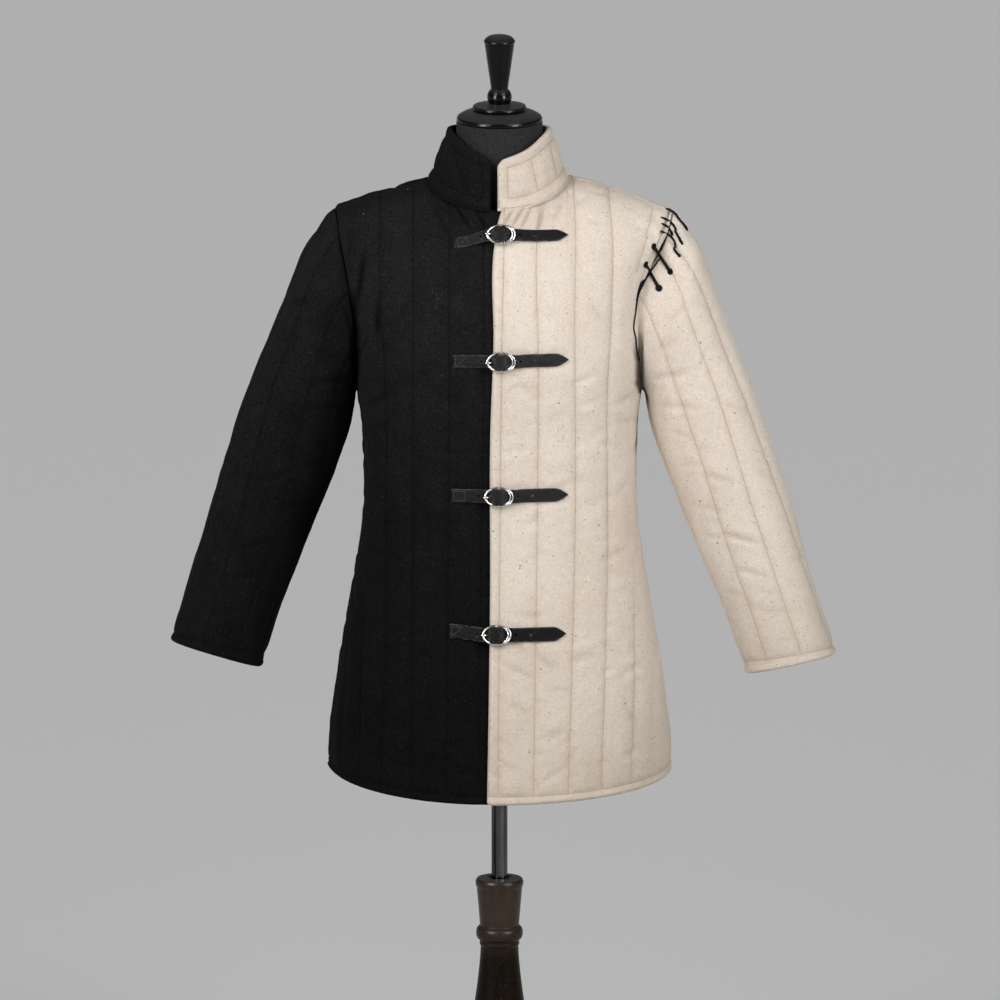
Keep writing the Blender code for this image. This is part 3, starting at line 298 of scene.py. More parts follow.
def on_front(x, z, off=0.0):
    """Points and normals above the front's surface, at x and z."""
    x, z = np.broadcast_arrays(np.asarray(x, float), np.asarray(z, float))
    v = np.array(height_v("front", z), float)
    for _ in range(8):
        a = alpha_at(1, "front", x, v)
        p = body(1, "front", a, v)
        v = v + (z - p[..., 2]) / np.where(v < 1, 0.55, 0.35)
    a = alpha_at(1, "front", x, v)
    n = body_normal(1, "front", a, v)
    return body(1, "front", a, v) + n * np.asarray(off, float)[..., None], n


# ---------------------------------------------------------------- smooth unevenness
def hashed(i, j, seed):
    h = (i.astype(np.int64) * 374761393 + j.astype(np.int64) * 668265263 + seed * 1274126177) & 0xFFFFFFFF
    h = ((h ^ (h >> 13)) * 1274126177) & 0xFFFFFFFF
    return ((h ^ (h >> 16)) & 0xFFFF) / 32767.5 - 1


def noise(x, y, seed):
    i, j = np.floor(x), np.floor(y)
    u, w = x - i, y - j
    u, w = u * u * u * (u * (6 * u - 15) + 10), w * w * w * (w * (6 * w - 15) + 10)
    a, b, c, d = hashed(i, j, seed), hashed(i + 1, j, seed), hashed(i, j + 1, seed), hashed(i + 1, j + 1, seed)
    return a + (b - a) * u + (c - a) * w + (a - b - c + d) * u * w


def fbm(x, y, seed, octaves=3):
    return sum(noise(x * 2 ** k + 17.3 * k, y * 2 ** k + 9.1 * k, seed + k) * 0.5 ** k for k in range(octaves))


def crease(u, w, at_u, at_w, tilt, long, wide, deep):
    """Soft trough with a low ridge on both sides, its middle at (at_u, at_w), turned by tilt from the u direction."""
    c, s = math.cos(tilt), math.sin(tilt)
    a = (u - at_u) * c + (w - at_w) * s
    b = (w - at_w) * c - (u - at_u) * s
    reach = np.exp(-np.abs(a / long) ** 3)
    return -deep * reach * (np.exp(-(b / wide) ** 2) - 0.42 * np.exp(-((np.abs(b) - 2.1 * wide) / (1.25 * wide)) ** 2))


# ---------------------------------------------------------------- meshes
made = {}


def build(name, verts, quads=None, tris=None, uv=None, marks=None, materials=(), slot=None, faces_material=None, smooth=True):
    verts = np.asarray(verts, float).reshape(-1, 3)
    quads = np.zeros((0, 4), int) if quads is None else np.asarray(quads, int).reshape(-1, 4)
    tris = np.zeros((0, 3), int) if tris is None else np.asarray(tris, int).reshape(-1, 3)
    every = np.concatenate([quads[:, [0, 1, 2]], quads[:, [0, 2, 3]], tris])
    a, b, c = (verts[every[:, k]] for k in range(3))
    if (a * np.cross(b, c)).sum() < 0:
        quads, tris = quads[:, ::-1], tris[:, ::-1]
    index = np.concatenate([quads.ravel(), tris.ravel()])
    start = np.concatenate([np.arange(len(quads)) * 4, len(quads) * 4 + np.arange(len(tris)) * 3])
    mesh = bpy.data.meshes.new(name)
    mesh.vertices.add(len(verts))
    mesh.vertices.foreach_set("co", verts.astype(np.float32).ravel())
    mesh.loops.add(len(index))
    mesh.loops.foreach_set("vertex_index", index.astype(np.int32))
    mesh.polygons.add(len(start))
    mesh.polygons.foreach_set("loop_start", start.astype(np.int32))
    mesh.update(calc_edges=True)
    mesh.polygons.foreach_set("use_smooth", np.full(len(start), smooth))
    if faces_material is not None:
        mesh.polygons.foreach_set("material_index", np.asarray(faces_material, np.int32))
    if uv is not None:
        layer = mesh.uv_layers.new(name="UVMap")
        layer.data.foreach_set("uv", np.asarray(uv, np.float32).reshape(-1, 2)[index].ravel())
    for key, values in (marks or {}).items():
        mesh.attributes.new(key, "FLOAT", "POINT").data.foreach_set("value", np.asarray(values, np.float32).ravel())
    obj = bpy.data.objects.new(name, mesh)
    bpy.context.scene.collection.objects.link(obj)
    for m in materials:
        mesh.materials.append(m)
    mesh.validate()
    made[name] = obj
    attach(obj, "root")
    return obj


def grid_faces(rows, cols, ring=False, shift=0):
    r, c = np.meshgrid(np.arange(rows - 1), np.arange(cols if ring else cols - 1), indexing="ij")
    n = (c + 1) % cols
    return np.stack([r * cols + c, r * cols + n, (r + 1) * cols + n, (r + 1) * cols + c], -1).reshape(-1, 4) + shift


def shell(name, outer, inner, ri, ci, uv, marks, ring=False, **more):
    """Closed wall: a fine outer grid and a coarse inner one, whose rows ri and columns ci match the outer's."""
    rows, cols = outer.shape[:2]
    R, C, shift = len(ri), len(ci), rows * cols
    verts = np.concatenate([outer.reshape(-1, 3), inner.reshape(-1, 3)])
    quads = np.concatenate([grid_faces(rows, cols, ring), grid_faces(R, C, ring, shift)[:, ::-1]])
    tris = []

    def rim(out_ids, in_ids, marks_at, flip):
        for k in range(len(in_ids) - 1):
            a, b = in_ids[k], in_ids[k + 1]
            span = out_ids[marks_at[k]:marks_at[k + 1] + 1]
            for p, q in zip(span, span[1:]):
                tris.append((p, a, q) if flip else (p, q, a))
            tris.append((span[-1], a, b) if flip else (span[-1], b, a))

    full = list(range(cols)) + ([0] if ring else [])
    cc = list(ci) + ([cols] if ring else [])
    jj = list(range(C)) + ([0] if ring else [])
    rim([c for c in full], [shift + j for j in jj], cc, True)
    rim([(rows - 1) * cols + c for c in full], [shift + (R - 1) * C + j for j in jj], cc, False)
    if not ring:
        rim([r * cols for r in range(rows)], [shift + k * C for k in range(R)], list(ri), False)
        rim([r * cols + cols - 1 for r in range(rows)], [shift + k * C + C - 1 for k in range(R)], list(ri), True)
    both = lambda a: np.concatenate([a.reshape(rows * cols, -1), a[np.ix_(ri, ci)].reshape(R * C, -1)])
    return build(name, verts, quads, tris, uv=both(uv), marks={k: both(v[..., None]) for k, v in marks.items()}, **more)


def tube_mesh(path, radius, sides=12, loop=False, up=(0.03, -1.0, 0.05), shape=None):
    """Verts and quads of a round bar; shape(angle, distance) scales its radius."""
    path = np.asarray(path, float)
    n = len(path)
    radius = np.broadcast_to(np.asarray(radius, float), (n,))
    tan = unit(np.roll(path, -1, 0) - np.roll(path, 1, 0)) if loop else unit(np.gradient(path, axis=0))
    u = np.empty_like(path)
    u[0] = unit(np.cross(tan[0], np.asarray(up, float)))
    if loop:
        u = unit(np.cross(tan, np.asarray(up, float)))
    else:
        for k in range(1, n):
            u[k] = unit(u[k - 1] - tan[k] * (u[k - 1] @ tan[k]))
    w = np.cross(u, tan)
    ang = np.linspace(0, 2 * np.pi, sides, endpoint=False)
    dist = np.concatenate([[0], np.cumsum(np.linalg.norm(np.diff(path, axis=0), axis=1))])
    scale = np.ones((n, sides)) if shape is None else shape(ang[None, :], dist[:, None])
    ring = path[:, None] + (radius[:, None] * scale)[..., None] * (np.cos(ang)[None, :, None] * u[:, None] + np.sin(ang)[None, :, None] * w[:, None])
    verts = ring.reshape(-1, 3)
    r, k = np.meshgrid(np.arange(n if loop else n - 1), np.arange(sides), indexing="ij")
    quads = np.stack([r * sides + k, r * sides + (k + 1) % sides, (r + 1) % n * sides + (k + 1) % sides, (r + 1) % n * sides + k], -1).reshape(-1, 4)
    tris = np.zeros((0, 3), int)
    if not loop:
        verts = np.concatenate([verts, path[[0, -1]]])
        k = np.arange(sides)
        first = np.stack([np.full(sides, n * sides), (k + 1) % sides, k], -1)
        last = np.stack([np.full(sides, n * sides + 1), (n - 1) * sides + k, (n - 1) * sides + (k + 1) % sides], -1)
        tris = np.concatenate([first, last])
    return verts, quads, tris


def outward(part):
    """The same verts, quads and tris with the faces pointing out of a closed mesh."""
    verts, quads, tris = part
    every = np.concatenate([quads[:, [0, 1, 2]], quads[:, [0, 2, 3]], tris])
    mid = verts.mean(0)
    a, b, c = (verts[every[:, k]] - mid for k in range(3))
    if (a * np.cross(b, c)).sum() < 0:
        return verts, quads[:, ::-1], tris[:, ::-1]
    return part


def joined(parts):
    """One verts, quads and tris from several, with the number of faces of each."""
    verts, quads, tris, base, owner_q, owner_t = [], [], [], 0, [], []
    for k, part in enumerate(parts):
        v, q, t = outward(part)
        verts.append(v)
        quads.append(q + base)
        tris.append(t + base)
        owner_q.append(np.full(len(q), k))
        owner_t.append(np.full(len(t), k))
        base += len(v)
    return np.concatenate(verts), np.concatenate(quads), np.concatenate(tris), np.concatenate(owner_q + owner_t)


def smooth_path(points, step):
    """Points about step apart on a smooth curve through the given ones."""
    p = np.asarray(points, float)
    p = np.concatenate([[2 * p[0] - p[1]], p, [2 * p[-1] - p[-2]]])
    out = []
    for a, b, c, d in zip(p, p[1:], p[2:], p[3:]):
        n = max(2, int(np.ceil(np.linalg.norm(c - b) / step)))
        t = np.arange(n)[:, None] / n
        out.append(0.5 * (2 * b + (c - a) * t + (2 * a - 5 * b + 4 * c - d) * t ** 2 + (3 * b - a - 3 * c + d) * t ** 3))
    return np.concatenate(out + [p[-2:-1]])


# ---------------------------------------------------------------- materials
class Look:
    def __init__(self, name, rough=0.9, specular=0.3, metal=0.0):
        self.mat = bpy.data.materials.new(name)
        self.mat.use_nodes = True
        self.tree = self.mat.node_tree
        self.shader = self.tree.nodes["Principled BSDF"]
        for key, value in (("Roughness", rough), ("Specular IOR Level", specular), ("Metallic", metal)):
            self.shader.inputs[key].default_value = value
        self.place = self.node("TexCoord").outputs["Object"]

    def node(self, kind, inputs=None, **props):
        n = self.tree.nodes.new("ShaderNode" + kind)
        for k, v in props.items():
            setattr(n, k, v)
        for k, v in (inputs or {}).items():
            if isinstance(v, bpy.types.NodeSocket):
                self.tree.links.new(v, n.inputs[k])
            else:
                n.inputs[k].default_value = v
        return n

    def math(self, op, a, b=0.0, c=0.0):
        return self.node("Math", {0: a, 1: b, 2: c}, operation=op).outputs[0]

    def mix(self, share, a, b, blend="MIX"):
        a, b = (v if isinstance(v, bpy.types.NodeSocket) else (*v, 1.0) for v in (a, b))
        return self.node("Mix", {0: share, 6: a, 7: b}, data_type="RGBA", blend_type=blend).outputs[2]

    def grey(self, value):
        return self.node("CombineColor", {0: value, 1: value, 2: value}).outputs[0]

    def noise(self, scale, detail=3.0, rough=0.5, vector=None, lacunarity=2.0, distortion=0.0):
        return self.node("TexNoise", {"Vector": vector or self.place, "Scale": scale, "Detail": detail, "Roughness": rough, "Lacunarity": lacunarity, "Distortion": distortion}).outputs[0]

    def scaled(self, x, y, z, vector=None):
        return self.node("Mapping", {"Vector": vector or self.place, "Scale": (x, y, z)}).outputs[0]

    def span(self, value, low, high, to_low=0.0, to_high=1.0, smooth=False):
        n = self.node("MapRange", {0: value, 1: low, 2: high, 3: to_low, 4: to_high})
        n.interpolation_type = "SMOOTHSTEP" if smooth else "LINEAR"
        return n.outputs[0]

    def flecks(self, scale, radius, share, vector=None, channel=0):
        """1 inside sparse spots: radius in metres, share of the cells that hold one."""
        v = self.node("TexVoronoi", {"Vector": vector or self.place, "Scale": scale, "Randomness": 1.0})
        near = self.span(v.outputs["Distance"], radius * scale, radius * scale * 0.45)
        pick = self.node("SeparateColor", {0: v.outputs["Color"]}).outputs[channel]
        return self.math("MULTIPLY", near, self.math("GREATER_THAN", pick, 1 - share))

    def height(self):
        return self.node("SeparateXYZ", {0: self.place}).outputs[2]

    def up(self):
        """How far the surface faces up, where top faces get a painted reflection."""
        return self.node("SeparateXYZ", {0: self.node("NewGeometry").outputs["Normal"]}).outputs[2]

    def mark(self, name):
        return self.node("Attribute", attribute_name=name, attribute_type="GEOMETRY").outputs["Fac"]

    def weave(self, pitch, vector=None):
        """Plain weave from the piece's own flat coordinates."""
        uv = vector or self.node("UVMap", uv_map="UVMap").outputs[0]
        s = self.node("SeparateXYZ", {0: uv})
        a = self.math("SINE", self.math("MULTIPLY", s.outputs[0], 2 * math.pi / pitch))
        b = self.math("SINE", self.math("MULTIPLY", s.outputs[1], 2 * math.pi / pitch))
        return self.math("MULTIPLY", a, b)

    def bump(self, height, distance, strength=1.0, normal=None):
        inputs = {"Height": height, "Distance": distance, "Strength": strength}
        if normal:
            inputs["Normal"] = normal
        return self.node("Bump", inputs).outputs[0]

    def set(self, **sockets):
        names = {"colour": "Base Color", "rough": "Roughness", "normal": "Normal", "metal": "Metallic"}
        for k, v in sockets.items():
            s = self.shader.inputs[names.get(k, k)]
            if isinstance(v, bpy.types.NodeSocket):
                self.tree.links.new(v, s)
            else:
                s.default_value = v

    def sheen(self, weight, rough, tint):
        for key, value in (("Sheen Weight", weight), ("Sheen Roughness", rough), ("Sheen Tint", (*tint, 1.0))):
            self.shader.inputs[key].default_value = value


def cream_cloth():
    k = Look("cream_cloth", rough=0.94, specular=0.12)
    broad = k.span(k.noise(7.0, 3.0), 0.35, 0.65)
    colour = k.mix(broad, (0.785, 0.682, 0.582), (0.850, 0.760, 0.665))
    mottle = k.noise(95.0, 5.0, 0.62)
    colour = k.mix(1.0, colour, k.grey(k.span(mottle, 0.30, 0.70, 0.955, 1.040)), "MULTIPLY")
    blot = k.noise(300.0, 4.0, 0.65)
    colour = k.mix(1.0, colour, k.grey(k.span(blot, 0.28, 0.72, 0.925, 1.065)), "MULTIPLY")
    slub = k.noise(1.0, 3.0, 0.6, vector=k.scaled(260.0, 260.0, 900.0))
    colour = k.mix(1.0, colour, k.grey(k.span(slub, 0.28, 0.72, 0.925, 1.065)), "MULTIPLY")
    grain = k.noise(900.0, 2.0, 0.6)
    colour = k.mix(1.0, colour, k.grey(k.span(grain, 0.25, 0.75, 0.83, 1.14)), "MULTIPLY")
    # painted shade: the cloth gets darker towards the hem, standing in for the light falling off downwards
    colour = k.mix(1.0, colour, k.mix(k.span(k.height(), 0.66, 1.12), (0.780, 0.758, 0.730), (1.0, 1.0, 1.0)), "MULTIPLY")
    # painted shade: darker near the neckline and over the whole collar
    colour = k.mix(1.0, colour, k.mix(k.mark("dust_and_painted_shade"), (1.0, 1.0, 1.0), (0.900, 0.890, 0.880)), "MULTIPLY")
    colour = k.mix(1.0, colour, k.mix(k.mark("shade"), (1.0, 1.0, 1.0), (0.10, 0.080, 0.065)), "MULTIPLY")
    # painted shade in the troughs of the creases
    colour = k.mix(1.0, colour, k.mix(k.mark("painted_crease_shade"), (1.0, 1.0, 1.0), (0.68, 0.63, 0.58)), "MULTIPLY")
    colour = k.mix(k.math("MULTIPLY", k.flecks(165.0, 0.00115, 0.20), 0.80), colour, (0.150, 0.125, 0.105))
    colour = k.mix(k.math("MULTIPLY", k.flecks(62.0, 0.00175, 0.14, channel=1), 0.85), colour, (0.110, 0.095, 0.085))
    colour = k.mix(k.math("MULTIPLY", k.flecks(250.0, 0.00085, 0.30, channel=1), 0.40), colour, (0.300, 0.310, 0.335))
    colour = k.mix(k.math("MULTIPLY", k.flecks(110.0, 0.0019, 0.16, channel=2), 0.30), colour, (0.560, 0.420, 0.300))
    line = k.mark("line_mm")
    # painted shade along the stitched lines: a broad darker band within 10 mm and a browner groove within 3.4 mm; the
    # thread's own colour follows
    colour = k.mix(1.0, colour, k.mix(k.span(line, 10.0, 0.5, 0.0, 0.55, True), (1.0, 1.0, 1.0), (0.90, 0.872, 0.845)), "MULTIPLY")
    colour = k.mix(k.span(line, 3.4, 0.3, 0.0, 0.17, True), colour, (0.560, 0.430, 0.315))
    colour = k.mix(k.math("MULTIPLY", k.span(line, 0.85, 0.35, 0.0, 0.56), k.span(k.noise(60.0, 3.0, 0.6), 0.30, 0.62, 0.45, 1.0)), colour, (0.395, 0.265, 0.170))
    h = k.math("ADD", k.math("MULTIPLY", k.weave(0.0013), 0.20), k.math("MULTIPLY", k.noise(600.0, 4.0, 0.65), 1.4))
    h = k.math("ADD", h, k.math("MULTIPLY", k.noise(1.0, 3.0, 0.55, vector=k.scaled(300.0, 300.0, 70.0)), 0.8))
    k.set(colour=colour, normal=k.bump(h, 0.00045, 0.80, k.bump(mottle, 0.0024, 0.55)))
    k.sheen(0.06, 0.6, (1.0, 0.96, 0.9))
    return k.mat


def black_cloth():
    k = Look("black_cloth", rough=0.96, specular=0.030)
    broad = k.span(k.noise(24.0, 5.0, 0.62), 0.30, 0.70)
    colour = k.mix(broad, (0.0070, 0.0070, 0.0072), (0.0112, 0.0111, 0.0111))
    nap = k.noise(420.0, 5.0, 0.7)
    colour = k.mix(1.0, colour, k.grey(k.span(nap, 0.3, 0.72, 0.25, 2.1)), "MULTIPLY")
    fine = k.noise(950.0, 2.0, 0.6)
    colour = k.mix(k.span(fine, 0.60, 0.78, 0.0, 0.70), colour, (0.040, 0.040, 0.040))
    fibre = k.noise(1.0, 2.0, 0.5, vector=k.scaled(1300.0, 1300.0, 260.0))
    colour = k.mix(k.span(fibre, 0.66, 0.80, 0.0, 0.35), colour, (0.045, 0.045, 0.047))
    dust_and_painted_shade = k.span(k.noise(16.0, 3.0, 0.6), 0.42, 0.66, 0.25, 1.0)
    colour = k.mix(k.math("MULTIPLY", dust_and_painted_shade, k.math("MULTIPLY", k.flecks(230.0, 0.00060, 0.22), 0.40)), colour, (0.16, 0.158, 0.150))
    colour = k.mix(k.math("MULTIPLY", dust_and_painted_shade, k.math("MULTIPLY", k.flecks(110.0, 0.00070, 0.12), 0.60)), colour, (0.26, 0.255, 0.240))
    colour = k.mix(k.math("MULTIPLY", k.flecks(150.0, 0.00075, 0.10, channel=2), 0.45), colour, (0.20, 0.20, 0.19))
    colour = k.mix(k.math("MULTIPLY", k.flecks(46.0, 0.0010, 0.075, channel=1), 0.85), colour, (0.46, 0.45, 0.42))
    bend = k.node("VectorMath", {0: k.scaled(230.0, 230.0, 62.0), 1: k.node("CombineXYZ", {0: k.math("MULTIPLY", k.noise(85.0, 1.0), 5.0), 1: 0.0, 2: k.math("MULTIPLY", k.noise(60.0, 1.0), 3.0)}).outputs[0]}, operation="ADD").outputs[0]
    hair = k.flecks(1.0, 0.115, 0.035, vector=bend, channel=2)
    colour = k.mix(k.math("MULTIPLY", hair, 0.45), colour, (0.17, 0.168, 0.165))
    line = k.mark("line_mm")
    # painted light and shade: darker towards the hem and lighter towards the chest, standing in for the light falling
    # off downwards
    colour = k.mix(1.0, colour, k.grey(k.span(k.height(), 0.72, 1.30, 0.58, 1.16)), "MULTIPLY")
    # painted shade: darker near the neckline and over the whole collar
    colour = k.mix(1.0, colour, k.mix(k.mark("dust_and_painted_shade"), (1.0, 1.0, 1.0), (0.70, 0.70, 0.70)), "MULTIPLY")
    colour = k.mix(1.0, colour, k.mix(k.mark("shade"), (1.0, 1.0, 1.0), (0.04, 0.04, 0.04)), "MULTIPLY")
    # painted shade in the troughs of the creases
    colour = k.mix(1.0, colour, k.mix(k.mark("painted_crease_shade"), (1.0, 1.0, 1.0), (0.40, 0.40, 0.40)), "MULTIPLY")
    # painted shade in the grooves along the stitched lines
    colour = k.mix(k.span(line, 3.2, 0.4, 0.0, 0.30, True), colour, (0.0016, 0.0016, 0.0018))
    h = k.math("ADD", k.math("MULTIPLY", nap, 1.5), k.math("MULTIPLY", k.noise(1100.0, 3.0, 0.6), 0.8))
    k.set(colour=colour, normal=k.bump(h, 0.0006, 0.85, k.bump(k.noise(90.0, 4.0, 0.6), 0.0022, 0.6)))
    k.sheen(0.015, 0.5, (0.95, 0.95, 0.96))
    k.set(**{"Specular IOR Level": k.span(k.mark("shade"), 0.0, 1.0, 0.030, 0.0), "Sheen Weight": k.span(k.mark("shade"), 0.0, 1.0, 0.015, 0.0)})
    return k.mat


def plain_thread(name, colour, rough=0.75):
    k = Look(name, rough=rough, specular=0.12)
    twist = k.noise(1.0, 2.0, vector=k.scaled(2400.0, 2400.0, 900.0))
    k.set(colour=k.mix(k.span(twist, 0.35, 0.65), tuple(c * 0.72 for c in colour), colour), normal=k.bump(twist, 0.0002, 0.6))
    return k.mat


def leather():
    k = Look("black_leather", rough=0.42, specular=0.085)
    grain = k.node("TexVoronoi", {"Vector": k.place, "Scale": 1300.0, "Randomness": 1.0}, feature="DISTANCE_TO_EDGE").outputs["Distance"]
    pores = k.noise(420.0, 4.0, 0.6)
    scuff = k.span(k.noise(1.0, 4.0, 0.7, vector=k.scaled(60.0, 60.0, 420.0)), 0.54, 0.72)
    colour = k.mix(k.span(pores, 0.3, 0.7), (0.0018, 0.0016, 0.0016), (0.0046, 0.0042, 0.0041))
    # painted sheen: lighter leather where a strap catches the light, by strap and by side of the buckle
    colour = k.mix(k.math("MULTIPLY", k.mark("painted_sheen"), k.span(k.noise(1.0, 4.0, 0.6, vector=k.scaled(45.0, 45.0, 260.0)), 0.25, 0.7, 0.35, 1.0)), colour, (0.034, 0.0335, 0.033))
    colour = k.mix(k.math("MULTIPLY", scuff, 0.22), colour, (0.034, 0.032, 0.031))
    # edges, the sewn box and the holes are lighter from wear; the two lobes over the bar get a painted highlight
    wear_and_painted_highlight = k.mark("wear_and_painted_highlight")
    colour = k.mix(k.math("MULTIPLY", wear_and_painted_highlight, k.span(k.noise(260.0, 3.0), 0.42, 0.60)), colour, (0.105, 0.098, 0.092))
    h = k.math("ADD", k.span(grain, 0.0, 0.22), k.math("MULTIPLY", pores, 0.6))
    k.set(colour=colour, rough=k.span(pores, 0.3, 0.7, 0.32, 0.52), normal=k.bump(h, 0.00022, 0.55))
    return k.mat


def steel():
    k = Look("steel", rough=0.20, metal=1.0)
    wear = k.noise(230.0, 4.0, 0.65)
    k.set(colour=k.mix(k.span(wear, 0.35, 0.7), (0.80, 0.79, 0.77), (0.58, 0.57, 0.55)), rough=k.span(wear, 0.3, 0.75, 0.16, 0.36), normal=k.bump(k.noise(700.0, 3.0), 0.0001, 0.35))
    return k.mat


def cord_black():
    k = Look("lace_cord", rough=0.8, specular=0.12)
    n = k.noise(1500.0, 3.0, 0.6)
    k.set(colour=k.mix(k.span(n, 0.3, 0.7), (0.0022, 0.0022, 0.0025), (0.0085, 0.0085, 0.0090)), normal=k.bump(n, 0.0003, 0.7))
    return k.mat


def jersey():
    k = Look("form_jersey", rough=0.9, specular=0.12)
    rib = k.noise(1.0, 3.0, 0.6, vector=k.scaled(900.0, 900.0, 500.0))
    fuzz = k.noise(260.0, 5.0, 0.7)
    colour = k.mix(k.span(fuzz, 0.32, 0.70), (0.0125, 0.0125, 0.0125), (0.0340, 0.0340, 0.0338))
    colour = k.mix(1.0, colour, k.grey(k.span(k.noise(900.0, 2.0), 0.3, 0.7, 0.72, 1.30)), "MULTIPLY")
    colour = k.mix(k.math("MULTIPLY", k.flecks(140.0, 0.0004, 0.06), 0.4), colour, (0.12, 0.12, 0.12))
    k.set(colour=colour, normal=k.bump(k.math("ADD", rib, k.math("MULTIPLY", fuzz, 0.5)), 0.0004, 0.7))
    k.sheen(0.05, 0.5, (0.95, 0.95, 0.95))
    return k.mat


def lacquer():
    k = Look("black_lacquer", rough=0.22, specular=0.24)
    ripple = k.noise(1.0, 3.0, 0.5, vector=k.scaled(30.0, 30.0, 260.0))
    fine = k.noise(900.0, 3.0, 0.6)
    dust = k.flecks(300.0, 0.0004, 0.06)
    colour = k.mix(k.span(fine, 0.3, 0.7), (0.0006, 0.0006, 0.0007), (0.0022, 0.0022, 0.0022))
    # painted reflection: faces that look up are painted a lighter grey
    colour = k.mix(k.span(k.up(), 0.40, 0.95), colour, k.mix(k.span(fine, 0.35, 0.65), (0.024, 0.024, 0.024), (0.044, 0.044, 0.044)))
    k.set(colour=k.mix(k.math("MULTIPLY", dust, 0.35), colour, (0.08, 0.08, 0.08)), rough=k.span(k.noise(60.0, 4.0), 0.3, 0.7, 0.16, 0.28), normal=k.bump(k.math("ADD", ripple, k.math("MULTIPLY", fine, 0.25)), 0.0003, 0.25))
    return k.mat


def pole_metal():
    k = Look("pole_metal", rough=0.20, metal=0.92)
    brushed = k.noise(1.0, 4.0, 0.65, vector=k.scaled(1400.0, 1400.0, 14.0))
    stain = k.noise(60.0, 4.0, 0.6)
    colour = k.mix(k.span(brushed, 0.3, 0.7), (0.047, 0.047, 0.048), (0.127, 0.127, 0.127))
    # painted reflection: broad vertical light and dark streaks round the pole
    colour = k.mix(1.0, colour, k.grey(k.span(k.noise(1.0, 2.0, 0.5, vector=k.scaled(210.0, 210.0, 1.6)), 0.38, 0.60, 0.16, 1.75)), "MULTIPLY")
    k.set(colour=k.mix(1.0, colour, k.grey(k.span(stain, 0.3, 0.7, 0.85, 1.12)), "MULTIPLY"), rough=k.span(stain, 0.3, 0.7, 0.09, 0.15), normal=k.bump(brushed, 0.00005, 0.05))
    return k.mat


def dark_wood():
    k = Look("dark_wood", rough=0.30, specular=0.26)
    warp = k.noise(14.0, 3.0, 0.5)
    v = k.node("VectorMath", {0: k.scaled(95.0, 95.0, 5.5), 1: k.node("CombineXYZ", {0: k.math("MULTIPLY", warp, 5.0), 1: warp, 2: 0.0}).outputs[0]}, operation="ADD").outputs[0]
    grain = k.noise(1.0, 6.0, 0.72, vector=v)
    pores = k.noise(1.0, 2.0, 0.5, vector=k.scaled(900.0, 900.0, 36.0))
    colour = k.mix(k.span(grain, 0.30, 0.72), (0.0210, 0.0125, 0.0066), (0.0410, 0.0245, 0.0128))
    # painted shade: the post darker towards its foot, standing in for the light falling off downwards
    colour = k.mix(1.0, colour, k.grey(k.span(k.height(), 0.395, 0.455, 0.20, 1.0)), "MULTIPLY")
    colour = k.mix(k.span(k.noise(1.0, 3.0, 0.6, vector=k.scaled(420.0, 420.0, 260.0)), 0.60, 0.74, 0.0, 0.55), colour, (0.110, 0.070, 0.042))
    colour = k.mix(k.span(pores, 0.60, 0.72, 0.0, 0.7), colour, (0.004, 0.003, 0.0025))
    # painted reflection: the post's top face painted a lighter grey
    colour = k.mix(k.math("MULTIPLY", k.span(k.up(), 0.55, 0.95), k.span(k.height(), 0.44, 0.46)), colour, (0.062, 0.062, 0.064))
    k.set(colour=colour, rough=k.span(grain, 0.3, 0.7, 0.26, 0.44), normal=k.bump(k.math("ADD", grain, k.math("MULTIPLY", pores, -0.8)), 0.0003, 0.5))
    k.set(**{"Specular IOR Level": k.span(k.height(), 0.400, 0.450, 0.07, 0.28)})
    return k.mat


CREAM, BLACK = cream_cloth(), black_cloth()
CREAM_THREAD, BLACK_THREAD = plain_thread("cream_thread", (0.60, 0.485, 0.37), 0.9), plain_thread("black_thread", (0.0040, 0.0040, 0.0044), 0.95)
GREY_THREAD = plain_thread("grey_thread", (0.15, 0.15, 0.148), 0.55)
LEATHER, STEEL, CORD, JERSEY, LACQUER, POLE, WOOD = leather(), steel(), cord_black(), jersey(), lacquer(), pole_metal(), dark_wood()
CLOTH = {-1: BLACK, 1: CREAM}
THREAD = {-1: BLACK_THREAD, 1: CREAM_THREAD}
TONE = {-1: "black", 1: "cream"}


# ---------------------------------------------------------------- quilting
def quilt(U, lines, cross, high, seed, W, ring=None):
    """Height of the padding, and the distance to the nearest stitched line in mm."""
    groove, near = np.zeros_like(U), np.full_like(U, 99.0)
    for at, strong in lines:
        d = np.abs(U - at)
        if ring is not None:
            d = np.minimum(d, ring - d)
        groove = np.maximum(groove, strong * np.exp(-(d / 0.0085) ** 1.05))
        near = np.minimum(near, np.where(strong > 0.45, d * 1000, 99))
    puff = 1 - groove
    for d, strong in cross:
        puff = puff * (1 - strong * np.exp(-(np.abs(d) / 0.0055) ** 1.1))
        near = np.minimum(near, np.where(strong > 0.45, np.abs(d) * 1000, 99))
    lumps = 1 + 0.24 * fbm(U / 0.045, W / 0.065, seed) + 0.12 * fbm(U / 0.016, W / 0.021, seed + 9)
    return high * puff * lumps, near


def rolled(d, wide, deep):
    return -deep * (1 - np.sqrt(np.clip(1 - (1 - np.minimum(d, wide) / wide) ** 2, 0, 1)))


